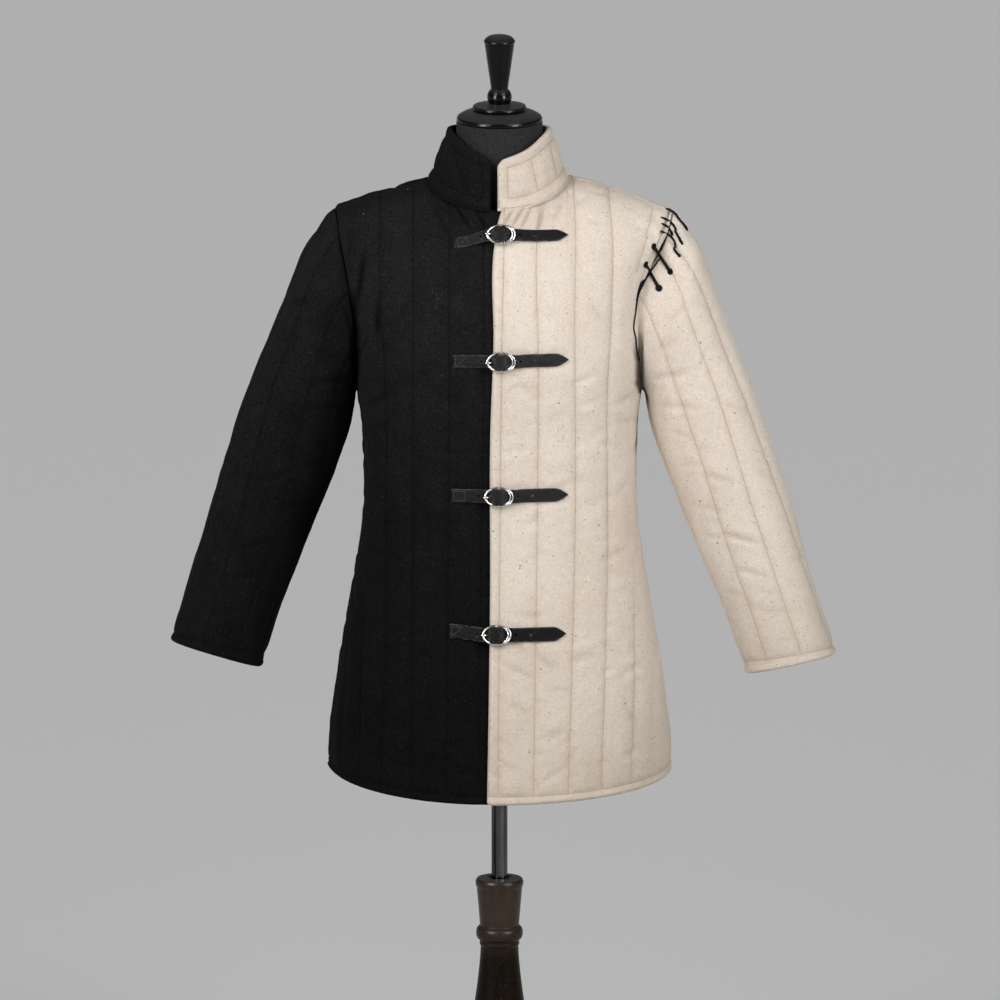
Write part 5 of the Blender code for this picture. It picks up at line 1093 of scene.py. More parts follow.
def cloth_sleeve(side):
    name = "sleeve_" + TONE[side]
    tables = SLEEVE_LINES[side]
    wide = [np.mean(t["turn"]) for t in tables]
    wide = np.diff([np.pi, *wide, 3 * np.pi])
    counts = [max(12, int(round(w * 36.5))) for w in wide]
    chan = np.concatenate([np.full(n, k) for k, n in enumerate(counts)])
    frac = np.concatenate([spaced(n) for n in counts])
    marks = np.concatenate([[0], np.cumsum(counts)[:-1]])
    b = np.stack([np.full(len(RUN), np.pi), *(along(t, "turn", RUN, "run") for t in tables), np.full(len(RUN), 3 * np.pi)], 0)
    theta = (b[chan] + frac[:, None] * (b[chan + 1] - b[chan])).T
    theta = np.where(np.abs(theta - np.pi) < 1e-4, np.pi + 1e-4, theta)
    theta = np.where(np.abs(theta - TWO) < 2e-3, TWO + 2e-3, theta)
    run = np.repeat(RUN[:, None], theta.shape[1], 1)
    turn = theta % TWO
    p, n = sleeve(side, turn, run), sleeve_normal(side, turn, run)
    _, hole_n, _, _ = armhole(side, turn[:1])
    s = ease(0.0, 0.035, run)[..., None]
    n = unit(hole_n * (1 - s) + n * s)
    shut = np.concatenate([p, p[:, :1]], 1)
    U, W = row_lengths(shut)
    ring = U[:, -1:]
    U, W = U[:, :-1], W[:, :-1]
    to_cuff = W[-1:] - W
    near_cuff = ease(0.0075, 0.0100, to_cuff)
    lines = [(U[:, m][:, None], near_cuff * (0.85 if m == 0 else 1.0)) for m in marks]
    cuff_at = to_cuff[CUFF_ROW][None, :]
    cross = [(to_cuff - cuff_at, np.ones_like(W))]
    seed = 71 if side > 0 else 83
    rng = np.random.default_rng(seed)
    h, near = quilt(U, lines, cross, 0.0027 if side > 0 else 0.0029, seed, W, ring)
    near = np.where(to_cuff < cuff_at - 0.0012, np.abs(to_cuff - cuff_at) * 1000, near)
    h = h - 0.0010
    h = puckers(h, U, W, lines, rng, (0.018, 0.044), (0.0005, 0.0017), (0.02, 0.02))
    h = h + 0.0009 * fbm(U / 0.07, W / 0.09, seed + 5, 2)
    before = h.copy()
    h = placed(h, p, SLEEVE_FOLDS[side], -1)
    mirrored = [(-x, z, t - 180, l, w, d * 0.8) for x, z, t, l, w, d in SLEEVE_FOLDS[-side]]
    h = placed(h, p, mirrored, 1)
    # how deep the creases press in, for painted shade in their troughs
    painted_crease_shade = np.clip((before - h) / 0.0030, 0, 1)
    head = 1 - ease(0.0, 0.013, W)
    laced = side > 0
    h = h * (1 - 0.75 * head) - 0.0004 * head
    h = placed(h, p, px((635.5, 340, 642, 317, 3.8, 4.6), (640, 352, 642, 346, 3.6, -2.2)) if side > 0 else px((366, 338, 359, 318, 4.0, 3.6), (344, 300, 352, 330, 4.2, 2.4)), -1)
    thick = SLEEVE_WALL - 0.002 * (1 - ease(0.0, 0.16, run))
    drop = np.minimum(rolled(to_cuff, 0.0042, 0.9), rolled(W, 0.0036, 0.75 if laced else 0.40))
    h = h * (0.4 + 0.6 * ease(0, 0.005, np.minimum(to_cuff, W + 0.002))) + drop * (thick - 0.0006)
    hollow = crevice(p) * np.exp(-(W / 0.0075) ** 1.6)
    outer = p + n * h[..., None] + hollow[..., None] * INTO
    ci = np.unique(np.concatenate([np.arange(0, len(chan), 4), [0]]))
    ri = np.unique(np.concatenate([[0, 3, 6, 9], np.arange(13, len(RUN) - 12, 4), [len(RUN) - 10, len(RUN) - 6, len(RUN) - 3, len(RUN) - 1]]))
    sub = np.ix_(ri, ci)
    inner = (p - n * thick[..., None] + hollow[..., None] * INTO)[sub]
    uv = np.stack([side * U, -W], -1)
    inner_side = np.abs(turn - np.pi)
    if side > 0:
        shade = (1 - ease(0.20, 0.62, inner_side)) * ease(0.0, 0.05, run) * (1 - ease(0.16, 0.38, run))
        shade = np.maximum(shade, 0.55 * (1 - ease(0.002, 0.011, W)) * (1 - ease(1.245, 1.300, p[..., 2])) * ease(1.175, 1.200, p[..., 2]) * ease(0.0, 0.02, -p[..., 1]))
    else:
        shade = np.maximum((1 - ease(0.30, 0.80, inner_side)) * (1 - ease(0.26, 0.44, run)), (0.88 + 0.10 * fbm(U / 0.05, W / 0.07, 91, 2)) * np.interp(inner_side, (0.0, 0.5, 0.9, 1.3, 1.75, 2.2, 2.6), (1.0, 0.93, 0.76, 0.50, 0.36, 0.12, 0.0)) * (1 - 0.45 * ease(0.68, 1.0, run)))
        shade = np.maximum(shade, 0.9 * (1 - ease(0.0008, 0.0040, W)) * (1 - ease(2.2, 2.6, inner_side)))
    shell(name, outer, inner, list(ri), list(ci), uv, {"line_mm": near, "shade": shade, "painted_crease_shade": painted_crease_shade}, ring=True, materials=[CLOTH[side]], slot=TONE[side] + "_cloth")
    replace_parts(made[name], name)
    nn = surface_normals(outer, n, True)
    group = []
    for k, m in enumerate(marks):
        if k:
            stitches(name, outer[1:CUFF_ROW + 1, m], nn[1:CUFF_ROW + 1, m], THREAD[side], seed=seed + k, group=group)
    around = np.concatenate([np.arange(len(chan)), [0]])
    stitches(name, outer[CUFF_ROW, around], nn[CUFF_ROW, around], THREAD[side], seed=seed + 40, group=group)
    sew("stitches_" + name, group, THREAD[side], TONE[side] + "_cloth")
    sheet(p, True)
    return outer, nn


arms = {side: cloth_sleeve(side) for side in (-1, 1)}

# ---------------------------------------------------------------- collar halves
COLLAR_LINES = {
    1: [((0.19, 0.81), (0.658, 0.628)), ((0.19, 0.81), (1.12, 1.18)), ((0.19, 0.81), (1.72, 1.75)), ((0.19, 0.81), (2.30, 2.33))],
    -1: [((0.19, 0.81), (0.511, 0.943)), ((0.19, 0.81), (1.22, 1.40)), ((0.19, 0.81), (1.90, 1.93)), ((0.19, 0.81), (2.46, 2.45))],
}
COLLAR_FOLDS = {1: px((528, 186, 536, 206, 4.0, 0.8), (506, 190, 514, 204, 3.5, 0.5), (548, 160, 552, 186, 4.0, 0.6)), -1: px((470, 184, 462, 204, 4.0, 1.0), (482, 186, 478, 208, 3.5, 0.8), (446, 170, 440, 190, 4.5, 0.8))}


def cloth_collar(side):
    name = "collar_" + TONE[side]
    q = np.concatenate([np.linspace(0.008, 0.19, 11), np.linspace(0.19, 0.81, 30)[1:], 0.81 + 0.19 * (1 - (1 - np.linspace(0, 1, 15)[1:]) ** 1.7)])
    first_row, last_row = 10, 39
    edge = 0.0106 if side < 0 else -0.0011
    radius = NECK_HALF + (COLLAR_HALF[side] - NECK_HALF) * q
    first = np.arcsin(edge / radius)
    last = np.full_like(q, np.pi - SEAM / 0.065)
    frame_at = first + (0.0108 if side < 0 else 0.0130) / (radius * 0.94)
    lines = [np.interp(q, (0.0, *zq, 1.0), (b[0] - (b[1] - b[0]) * zq[0] / 0.62, *b, b[1] + (b[1] - b[0]) * 0.3)) for zq, b in COLLAR_LINES[side]]
    b = np.stack([first, frame_at, *lines, last], 0)
    counts = [12] + [max(8, int(round((b[k + 1] - b[k]).mean() * 0.085 / 0.0031))) for k in range(1, len(b) - 1)]
    chan = np.concatenate([np.full(n, k) for k, n in enumerate(counts)] + [[len(counts) - 1]])
    frac = np.concatenate([spaced(n, "first" if k == 0 else "both") for k, n in enumerate(counts)] + [[1.0]])
    marks = np.cumsum(counts)[:-1]
    beta = (b[chan] + frac[:, None] * (b[chan + 1] - b[chan])).T
    qq = np.repeat(q[:, None], beta.shape[1], 1)
    flat = collar(side, beta, qq)
    s = row_lengths(flat)[0]
    round_r = 0.0105
    cut = round_r / 0.070 * (1 - np.sqrt(np.clip(1 - (1 - np.minimum(s, round_r) / round_r) ** 2, 0, 1)))
    qq = qq - cut * qq ** 5 - 0.034 * (1 - ease(0.0, 0.12, qq))
    p, n = collar(side, beta, qq), collar_normal(side, beta, qq)
    p[..., 2] += 0.0016 * ease(0.0, 0.2, qq)
    U, W = row_lengths(p)
    to_top = W[-1:] - W
    rows = np.arange(len(q))[:, None]
    inside = ((rows >= first_row) & (rows <= last_row)).astype(float)
    vertical = [(U[:, marks[0]][:, None], inside + 0 * U)] + [(U[:, m][:, None], inside + 0 * U) for m in marks[1:]]
    beyond = ease(-0.0012, 0.0004, U - U[:, marks[0]][:, None])
    cross = [(W - W[first_row][None, :], beyond), (W - W[last_row][None, :], beyond)]
    seed = 95 if side > 0 else 101
    h, near = quilt(U, vertical, cross, 0.0022, seed, W)
    h = h - 0.0028 * ease(0.0, 0.25, qq) + 0.0005 * fbm(U / 0.05, W / 0.03, seed + 3, 2)
    h = placed(h, p, COLLAR_FOLDS[side], -1)
    rng = np.random.default_rng(seed)
    for _ in range(16):
        h += crease(U, W, rng.uniform(0.03, U.max()), rng.uniform(0.010, 0.055), rng.uniform(-0.5, 0.5) + rng.choice((0, 1.5)), rng.uniform(0.008, 0.018), rng.uniform(0.003, 0.005), rng.uniform(0.0002, 0.0006))
    seam = 1 - ease(0, 0.007, W)
    h = h * (1 - 0.8 * seam)
    drop = np.minimum(rolled(to_top, 0.0046, 0.9), rolled(U, 0.0046, 0.9))
    drop = np.minimum(drop, np.minimum(rolled(U[:, -1:] - U, 0.0035, 0.25), rolled(W, 0.003, 0.10)))
    h = h * (0.35 + 0.65 * ease(0, 0.006, np.minimum(to_top, U))) + drop * (WALL - 0.0006)
    outer = p + n * h[..., None]
    ci = np.unique(np.concatenate([[0, 3, 6, 9], np.arange(12, len(chan) - 2, 3), [len(chan) - 1]]))
    ri = np.unique(np.concatenate([np.arange(0, len(q) - 8, 3), [len(q) - 8, len(q) - 5, len(q) - 3, len(q) - 1]]))
    sub = np.ix_(ri, ci)
    inner = (p - n * WALL)[sub]
    # the whole collar gets painted shade
    shell(name, outer, inner, list(ri), list(ci), np.stack([side * U, W], -1), {"line_mm": near, "dust_and_painted_shade": np.ones_like(U)}, materials=[CLOTH[side]], slot=TONE[side] + "_cloth")
    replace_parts(made[name], name)
    nn = surface_normals(outer, n)
    group = []
    for k, m in enumerate(marks):
        stitches(name, outer[first_row:last_row + 1, m], nn[first_row:last_row + 1, m], THREAD[side], seed=seed + k, group=group)
    cols = np.arange(marks[0], len(chan) - 1)
    for r in (first_row, last_row):
        stitches(name, outer[r, cols], nn[r, cols], THREAD[side], seed=seed + 50 + r, group=group)
    sew("stitches_" + name, group, THREAD[side], TONE[side] + "_cloth")
    sheet(p)


for side in (-1, 1):
    cloth_collar(side)

# ---------------------------------------------------------------- strip behind the laced gap
w = np.concatenate([np.linspace(0.44, 1.0, 110), np.linspace(1.0, 0.64, 50)[1:]])
strip = []
for face, k in zip(["front"] * 110 + ["back"] * 49, w):
    vv = np.full(61, min(1 + k, 2 - 1e-3))
    aa = alpha_arm(1, vv[:1])[0] + np.linspace(-0.075, 0.10, 61)
    gap = float(along(LACED, face, share_of(vv[:1])[0], "share"))
    strip.append((body(1, face, aa, vv), body_normal(1, face, aa, vv), np.full(61, gap)))
p, n, gap = (np.array([row[k] for row in strip]) for k in range(3))
U, W = row_lengths(p)
past = U - U[:, 26:27]
full = ease(0.0003, 0.0032, past) * (1 - ease(-0.0034, -0.0004, past - gap)) * ease(0.0014, 0.0050, gap)
rise = 0.0056 * full + 0.0006 * full * fbm(U / 0.012, W / 0.020, 7)
outer_g = p - n * (WALL - HEAD_THIN + 0.0010 - rise)[..., None]
inner_g = p - n * (WALL - HEAD_THIN + 0.0030)
ids, cid = sorted({*range(0, len(w), 5), len(w) - 1}), list(range(0, 61, 6))
shell("shoulder_underlap", outer_g, inner_g[np.ix_(ids, cid)], ids, cid, np.stack([U, W], -1), {"line_mm": np.full_like(U, 99.0)}, materials=[CREAM], slot="cream_cloth")
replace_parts(made["shoulder_underlap"], "shoulder_underlap")
sheet(p)

# ---------------------------------------------------------------- dress form and stand
FORM = dict(
    z=(FORM_BOTTOM, 0.790, 0.850, 0.910, 0.980, 1.060, 1.120, 1.186),
    half=(0.158, 0.168, 0.174, 0.171, 0.164, 0.160, 0.164, 0.172),
    front=(0.100, 0.110, 0.116, 0.112, 0.104, 0.100, 0.104, 0.112),
    back=(0.104, 0.116, 0.124, 0.116, 0.102, 0.090, 0.094, 0.102),
)
around = 120
phi = np.linspace(-np.pi, np.pi, around, endpoint=False)
rings = []
for z, shrink in [(FORM_BOTTOM, 0.93), (FORM_BOTTOM + 0.0008, 0.955), (FORM_BOTTOM + 0.0025, 0.973), (FORM_BOTTOM + 0.006, 0.987)] + [(z, 1.0) for z in np.linspace(0.760, ARMPIT, 50)]:
    deep = np.where(np.cos(phi) >= 0, along(FORM, "front", z), along(FORM, "back", z)) * shrink
    r = (np.abs(np.sin(phi)) ** 2.4 + np.abs(np.cos(phi)) ** 2.4) ** (1 / 2.4)
    rings.append(np.stack([along(FORM, "half", z) * shrink * np.sin(phi) / r, -deep * np.cos(phi) / r, np.full(around, z)], -1))
for w in np.linspace(0.12, 0.95, 44):
    share = np.sin(0.5 * np.pi * w) ** 2
    deep = np.where(np.cos(phi) >= 0, along(CHEST, "front", share, "share") - 0.020, along(CHEST, "back", share, "share") - 0.0135) * np.sqrt(1 - share ** 3)
    half = np.interp(share, (0, 0.3, 0.7, 1.0), (0.170, 0.1745, 0.1765, 0.1760))
    r = (np.abs(np.sin(phi)) ** 2.6 + np.abs(np.cos(phi)) ** 2.6) ** (1 / 2.6)
    x = half * np.sin(phi) / r
    rings.append(np.stack([x, -deep * np.cos(phi) / r, ARMPIT + share * (np.minimum(along(SHOULDER[-1], "z", np.abs(x), "x"), along(SHOULDER[1], "z", np.abs(x), "x")) - 0.0150 - ARMPIT)], -1))
rings = np.array(rings)
top_mid = rings[-1].mean(0) * (0, 1, 0) + np.array((0, 0, ARMPIT + 1.0 * (1.493 - 0.0150 - ARMPIT)))
k = np.arange(around)
count = len(rings) * around
tris = np.concatenate([np.stack([np.full(around, count), (k + 1) % around, k], -1), np.stack([np.full(around, count + 1), count - around + k, count - around + (k + 1) % around], -1)])
form_verts = np.concatenate([rings.reshape(-1, 3), [rings[0].mean(0)], [top_mid]])
form = build("form_torso", form_verts, grid_faces(len(rings), around, True), tris, materials=[JERSEY], slot="form_jersey")


def outline(*runs, step=0.0025, soft=0.0007):
    """Turned profile: each run is one smooth curve, and the corners between runs are eased."""
    line, corners = [], []
    for run in runs:
        pts = np.array([(r, 0.0, z) for r, z in run])
        fine = smooth_path(pts, step) if len(run) > 2 else np.linspace(pts[0], pts[1], max(2, int(np.linalg.norm(pts[1] - pts[0]) / step) + 1))
        if line:
            corners.append(len(line) - 1)
            fine = fine[1:]
        line += list(fine)
    line = np.array(line)[:, [0, 2]]
    s = np.concatenate([[0], np.cumsum(np.linalg.norm(np.diff(line, axis=0), axis=1))])
    at = lambda v: np.array([np.interp(v, s, line[:, 0]), np.interp(v, s, line[:, 1])])
    out, i = [], 0
    for c in corners:
        a, b = max(s[c] - soft, (s[c] + (s[i - 1] if i else 0)) / 2), s[c] + soft
        while i < len(line) and s[i] < a - 1e-6:
            out.append(line[i])
            i += 1
        for t in np.linspace(0, 1, 6):
            out.append((1 - t) ** 2 * at(a) + 2 * t * (1 - t) * line[c] + t * t * at(b))
        while i < len(line) and s[i] <= b + 1e-6:
            i += 1
    out += list(line[i:])
    return np.array(out)


def turned(name, profile, material, slot, around=96, x=STAND_X, y=STAND_Y):
    ang = np.linspace(0, 2 * np.pi, around, endpoint=False)
    profile = [q for k, q in enumerate(profile) if k == 0 or np.linalg.norm(q - profile[k - 1]) > 2e-5]
    inner = [q for q in profile[1:-1]]
    verts = np.concatenate([[(x, y, profile[0][1])], *[np.stack([x + r * np.cos(ang), y + r * np.sin(ang), np.full(around, z)], -1) for r, z in inner], [(x, y, profile[-1][1])]])
    quads = grid_faces(len(inner), around, True, 1)
    k = np.arange(around)
    tris = np.concatenate([np.stack([np.zeros(around, int), 1 + (k + 1) % around, 1 + k], -1),
                           np.stack([np.full(around, len(verts) - 1), 1 + (len(inner) - 1) * around + k, 1 + (len(inner) - 1) * around + (k + 1) % around], -1)])
    return build(name, verts, quads, tris, materials=[material], slot=slot)


def boolean(target, tool, kind):
    mod = target.modifiers.new(kind, "BOOLEAN")
    mod.operation, mod.solver, mod.object = kind, "EXACT", tool
    mesh = bpy.data.meshes.new_from_object(target.evaluated_get(bpy.context.evaluated_depsgraph_get()))
    target.modifiers.clear()
    target.data = mesh
    bpy.data.objects.remove(tool, do_unlink=True)


def helper(name, verts, quads=None, tris=None, material=None):
    """A mesh used once as a Boolean's tool."""
    quads = np.zeros((0, 4), int) if quads is None else quads
    tris = np.zeros((0, 3), int) if tris is None else tris
    verts, quads, tris = outward((np.asarray(verts, float), np.asarray(quads, int).reshape(-1, 4), np.asarray(tris, int).reshape(-1, 3)))
    mesh = bpy.data.meshes.new(name)
    mesh.from_pydata([tuple(v) for v in verts], [], [tuple(int(i) for i in f) for f in list(quads) + list(tris)])
    mesh.update()
    mesh.polygons.foreach_set("use_smooth", np.full(len(mesh.polygons), True))
    if material:
        mesh.materials.append(material)
    obj = bpy.data.objects.new(name, mesh)
    bpy.context.scene.collection.objects.link(obj)
    return obj


neck_profile = outline(((0.0, 1.38), (0.060, 1.38)), ((0.060, 1.38), (0.0595, 1.44), (0.059, 1.468), (0.0585, 1.495), (0.0585, 1.5598)), ((0.0585, 1.5598), (0.0, 1.5598)), step=0.004)
ang = np.linspace(0, 2 * np.pi, 96, endpoint=False)
inner = neck_profile[1:-1]
verts = np.concatenate([[(STAND_X, STAND_Y, neck_profile[0][1])], *[np.stack([STAND_X + r * np.cos(ang), STAND_Y + r * np.sin(ang), np.full(96, z)], -1) for r, z in inner], [(STAND_X, STAND_Y, neck_profile[-1][1])]])
k = np.arange(96)
neck = helper("neck_tool", verts, grid_faces(len(inner), 96, True, 1),
              np.concatenate([np.stack([np.zeros(96, int), 1 + (k + 1) % 96, 1 + k], -1), np.stack([np.full(96, len(verts) - 1), 1 + (len(inner) - 1) * 96 + k, 1 + (len(inner) - 1) * 96 + (k + 1) % 96], -1)]), JERSEY)
boolean(form, neck, "UNION")
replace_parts(form, "form_torso")

CAP = outline(((0.0, 1.5603), (0.0566, 1.5603)), ((0.0566, 1.5603), (0.0580, 1.5615), (0.0584, 1.5635), (0.0578, 1.5655)), ((0.0578, 1.5655), (0.0562, 1.5677), (0.0500, 1.5713), (0.0430, 1.5739), (0.0375, 1.5751)),
              ((0.0375, 1.5751), (0.0, 1.5753)), step=0.0012, soft=0.0005)
DISC = outline(((0.0, 1.5756), (0.0345, 1.5756)), ((0.0345, 1.5756), (0.0362, 1.5769), (0.0368, 1.5789), (0.0358, 1.5811)), ((0.0358, 1.5811), (0.0345, 1.5820)), ((0.0345, 1.5820), (0.0175, 1.5839)), ((0.0175, 1.5839), (0.0150, 1.5848)), ((0.0150, 1.5848), (0.0, 1.5850)), step=0.0012, soft=0.0005)
FINIAL = outline(((0.0, 1.5852), (0.0146, 1.5852)), ((0.0146, 1.5852), (0.0154, 1.5874), (0.0165, 1.5905), (0.0168, 1.5938), (0.0160, 1.5980), (0.0138, 1.6022), (0.0116, 1.6042)),
                 ((0.0116, 1.6042), (0.0129, 1.6150), (0.0151, 1.6300), (0.0175, 1.6470), (0.0193, 1.6600), (0.0204, 1.6682)), ((0.0204, 1.6682), (0.0212, 1.6694), (0.0213, 1.6710), (0.0204, 1.6724)),
                 ((0.0204, 1.6724), (0.0170, 1.6760), (0.0110, 1.6784), (0.0, 1.6794)), step=0.0010, soft=0.0005)
POST = outline(((0.0, 0.0305), (0.060, 0.0305)), ((0.060, 0.0305), (0.062, 0.040), (0.058, 0.052), (0.044, 0.064), (0.036, 0.085)),
               ((0.036, 0.085), (0.042, 0.115), (0.053, 0.150), (0.058, 0.185), (0.055, 0.225), (0.048, 0.270), (0.0392, 0.305), (0.0340, 0.335), (0.0297, 0.366), (0.0268, 0.394), (0.0256, 0.4140)),
               ((0.0256, 0.4140), (0.0268, 0.4155), (0.0272, 0.4175), (0.0268, 0.4198)), ((0.0268, 0.4198), (0.0266, 0.4226)), ((0.0266, 0.4226), (0.0298, 0.4240), (0.0315, 0.4282), (0.0318, 0.4330), (0.0308, 0.4378), (0.0280, 0.4410)),
               ((0.0280, 0.4410), (0.0266, 0.4424)), ((0.0266, 0.4424), (0.0278, 0.4580), (0.0295, 0.4780), (0.0306, 0.4900), (0.0309, 0.4955)), ((0.0309, 0.4955), (0.0322, 0.4980), (0.0327, 0.5018), (0.0321, 0.5052), (0.0303, 0.5078)),
               ((0.0303, 0.5078), (0.0180, 0.5090), (0.0150, 0.5086)), ((0.0150, 0.5086), (0.0128, 0.5064)), ((0.0128, 0.5064), (0.0118, 0.5040)), ((0.0118, 0.5040), (0.0118, 0.440)), ((0.0118, 0.440), (0.0, 0.440)), step=0.002, soft=0.0005)
BASE = outline(((0.0, 0.0), (0.195, 0.0)), ((0.195, 0.0), (0.1988, 0.0014), (0.200, 0.0045)), ((0.200, 0.0045), (0.200, 0.0195)), ((0.200, 0.0195), (0.1985, 0.0235), (0.1945, 0.0268)), ((0.1945, 0.0268), (0.185, 0.0288), (0.170, 0.0300)), ((0.170, 0.0300), (0.0, 0.0300)), step=0.003, soft=0.001)
POLE_LINE = outline(((0.0, 0.4405), (0.0110, 0.4405)), ((0.0110, 0.4405), (0.0110, 0.7395)), ((0.0110, 0.7395), (0.0, 0.7395)), step=0.004, soft=0.0005)
for name, profile, material, slot, sides in (("neck_cap", CAP, LACQUER, "black_lacquer", 128), ("neck_disc", DISC, LACQUER, "black_lacquer", 112), ("finial", FINIAL, LACQUER, "black_lacquer", 80),
                                             ("pole", POLE_LINE, POLE, "pole_metal", 72), ("post", POST, WOOD, "dark_wood", 96), ("base", BASE, WOOD, "dark_wood", 160)):
    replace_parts(turned(name, profile, material, slot, sides), name)

# ---------------------------------------------------------------- straps, buckles and chapes
for number, f in enumerate(FASTENINGS, 1):
    cx, z0 = f["x"], f["z"]
    v0 = np.array(float(height_v("front", z0)))
    edge_x = float(front_edge(v0))
    rng = np.random.default_rng(200 + number)
    keys = np.array([f["left"], f["left"] + 0.009, f["left"] + 0.018, cx - 0.035, cx - 0.0270, cx - 0.0205, cx - 0.0165, cx - 0.0135, cx - 0.0090, cx - 0.0050, cx - 0.0020, cx + 0.0022,
                     cx + 0.0060, cx + 0.0095, cx + 0.0135, cx + 0.0170, cx + 0.0210, cx + 0.030, cx + 0.042, cx + 0.056, f["tip"] - 0.0135, f["tip"] - 0.0085, f["tip"] - 0.0035, f["tip"]])
    low = 0.0003 + STRAP_T / 2
    offs = [low, low, low + 0.0001, low + 0.0012, 0.0052, 0.0072, 0.0078, 0.0083, 0.0110, 0.0142, 0.0153, 0.0153, 0.0138, 0.0110, 0.0083, 0.0082, 0.0084]
    far = RAISE * (1 - ease(0, 0.07, keys - edge_x)) + 0.0008 + STRAP_T / 2
    offs = np.array(offs + [0.0] * (24 - len(offs)))
    offs[17:] = far[17:]
    offs[17] += 0.0015
    offs[19] += 0.0004 * rng.uniform(0, 1)
    length = f["tip"] - f["left"]
    xs = np.unique(np.concatenate([np.linspace(f["left"], f["tip"], 104), f["left"] + np.array((0.0003, 0.0008, 0.0016)), f["tip"] - np.array((0.0004, 0.001, 0.002))]))
    off = along(dict(x=keys, o=offs), "o", xs, "x") - 0.0011 * np.exp(-((xs - cx - 0.0006) / 0.0013) ** 2)
    zs = z0 - f["drop"] * (1 - ease(f["left"], cx - 0.012, xs)) + 0.0004 * noise((xs - cx) / 0.05, np.full_like(xs, 3.7 * number), 61)
    path, nor = on_front(xs, zs, off)
    tan = unit(np.gradient(path, axis=0))
    across = unit(np.cross(tan, nor))
    across = across * np.sign(across[:, 2:3])
    nor = unit(np.cross(tan, across))
    nor = nor * np.sign((nor * np.array([0, -1, 0])).sum(-1, keepdims=True))
    t_end = xs - f["tip"]
    half = STRAP_W / 2 * (0.89, 0.985, 1.01, 1.05)[number - 1] * np.interp(t_end, (-0.0180, -0.0150, -0.0130, -0.0105, -0.0080, -0.0055, -0.0032, -0.0012, 0.0), (1.0, 0.975, 0.92, 0.81, 0.665, 0.49, 0.305, 0.14, 0.05))
    lobes = 0.0117 * np.sqrt(np.clip(1 - ((np.abs(xs - cx) - 0.0042) / 0.0098) ** 2, 0, 1))
    half = np.maximum(half, lobes * (0.97, 1.0, 1.0, 1.0)[number - 1]) * (1 - (0.10, 0.02, 0.0, 0.0)[number - 1] * (1 - ease(-0.035, -0.020, xs - cx)))
    half = half * (1 - 0.07 * (1 - ease(0, 0.0016, xs - f["left"]))) * (1 + 0.012 * noise((xs - cx) / 0.03, np.full_like(xs, 1.3 * number), 62))
    u = np.array([-1, -0.985, -0.955, -0.91, -0.84, -0.6, -0.3, 0, 0.3, 0.6, 0.84, 0.91, 0.955, 0.985, 1.0])
    crown = np.interp(np.abs(u), (0, 0.6, 0.84, 0.91, 0.955, 0.985, 1.0), (1.06, 1.04, 1.0, 0.93, 0.78, 0.50, 0.12))
    upper = path[:, None] + across[:, None] * (u[None, :, None] * half[:, None, None]) + nor[:, None] * (STRAP_T / 2 * crown)[None, :, None]
    upper += nor[:, None] * (0.00010 * fbm(xs[:, None] / 0.006, u[None, :] * 1.5, 63 + number))[..., None]
    under = path[:, None] + across[:, None] * (u[None, :, None] * half[:, None, None]) - nor[:, None] * (STRAP_T / 2 * np.minimum(crown, 1.0))[None, :, None]
    rows, cols = len(xs), len(u)
    shift = rows * cols
    quads = [grid_faces(rows, cols), grid_faces(rows, cols, shift=shift)[:, ::-1]]
    c, r = np.arange(cols - 1), np.arange(rows - 1)
    quads += [np.stack([c + 1, c, c + shift, c + 1 + shift], -1), np.stack([(rows - 1) * cols + c, (rows - 1) * cols + c + 1, (rows - 1) * cols + c + 1 + shift, (rows - 1) * cols + c + shift], -1),
              np.stack([r * cols, (r + 1) * cols, (r + 1) * cols + shift, r * cols + shift], -1), np.stack([(r + 1) * cols + cols - 1, r * cols + cols - 1, r * cols + cols - 1 + shift, (r + 1) * cols + cols - 1 + shift], -1)]
    strap = build("strap_%d" % number, np.concatenate([upper.reshape(-1, 3), under.reshape(-1, 3)]), np.concatenate(quads), materials=[LEATHER], slot="black_leather")
    mid, mid_n = (q[0] for q in on_front(np.array([cx]), np.array([z0]), 0.0))
    right = unit(np.cross(np.array([0, 0, 1.0]), mid_n))
    right = right if right[0] > 0 else -right
    rise = unit(np.cross(mid_n, right))
    rise = rise if rise[2] > 0 else -rise
    spot = lambda a, b, c: mid + right * a + rise * b + mid_n * c
    for hx, hr in ((-0.0118, 0.0022), (0.026, 0.0017), (0.046, 0.0017), (-0.0270, 0.0016)):
        p, n = (q[0] for q in on_front(np.array([cx + hx]), np.array([float(np.interp(cx + hx, xs, zs))]), 0.0))
        boolean(strap, helper("hole", *tube_mesh(np.linspace(p - n * 0.001, p + n * 0.024, 4), hr, 20, up=(0, 0, 1.0))), "DIFFERENCE")
    mesh = strap.data
    co = np.empty(len(mesh.vertices) * 3, np.float32)
    mesh.vertices.foreach_get("co", co)
    co = co.reshape(-1, 3).astype(float)
    k = np.clip(np.searchsorted(xs, co[:, 0]), 0, rows - 1)
    share = np.abs(((co - path[k]) * across[k]).sum(-1)) / np.maximum(half[k], 1e-4)
    wear_and_painted_highlight = ease(0.80, 0.99, share) * 0.9
    box = np.maximum(1 - np.abs(np.abs((co - path[k]) @ rise) - 0.0066) / 0.0011, 0) * (1 - ease(0.017, 0.019, co[:, 0] - f["left"])) * 0.5
    around_hole = sum(np.exp(-((np.linalg.norm(co[:, [0, 2]] - np.array([cx + hx, np.interp(cx + hx, xs, zs)]), axis=1) - 0.0016) / 0.0009) ** 2) for hx in (0.026, 0.046, -0.027)) * 0.6
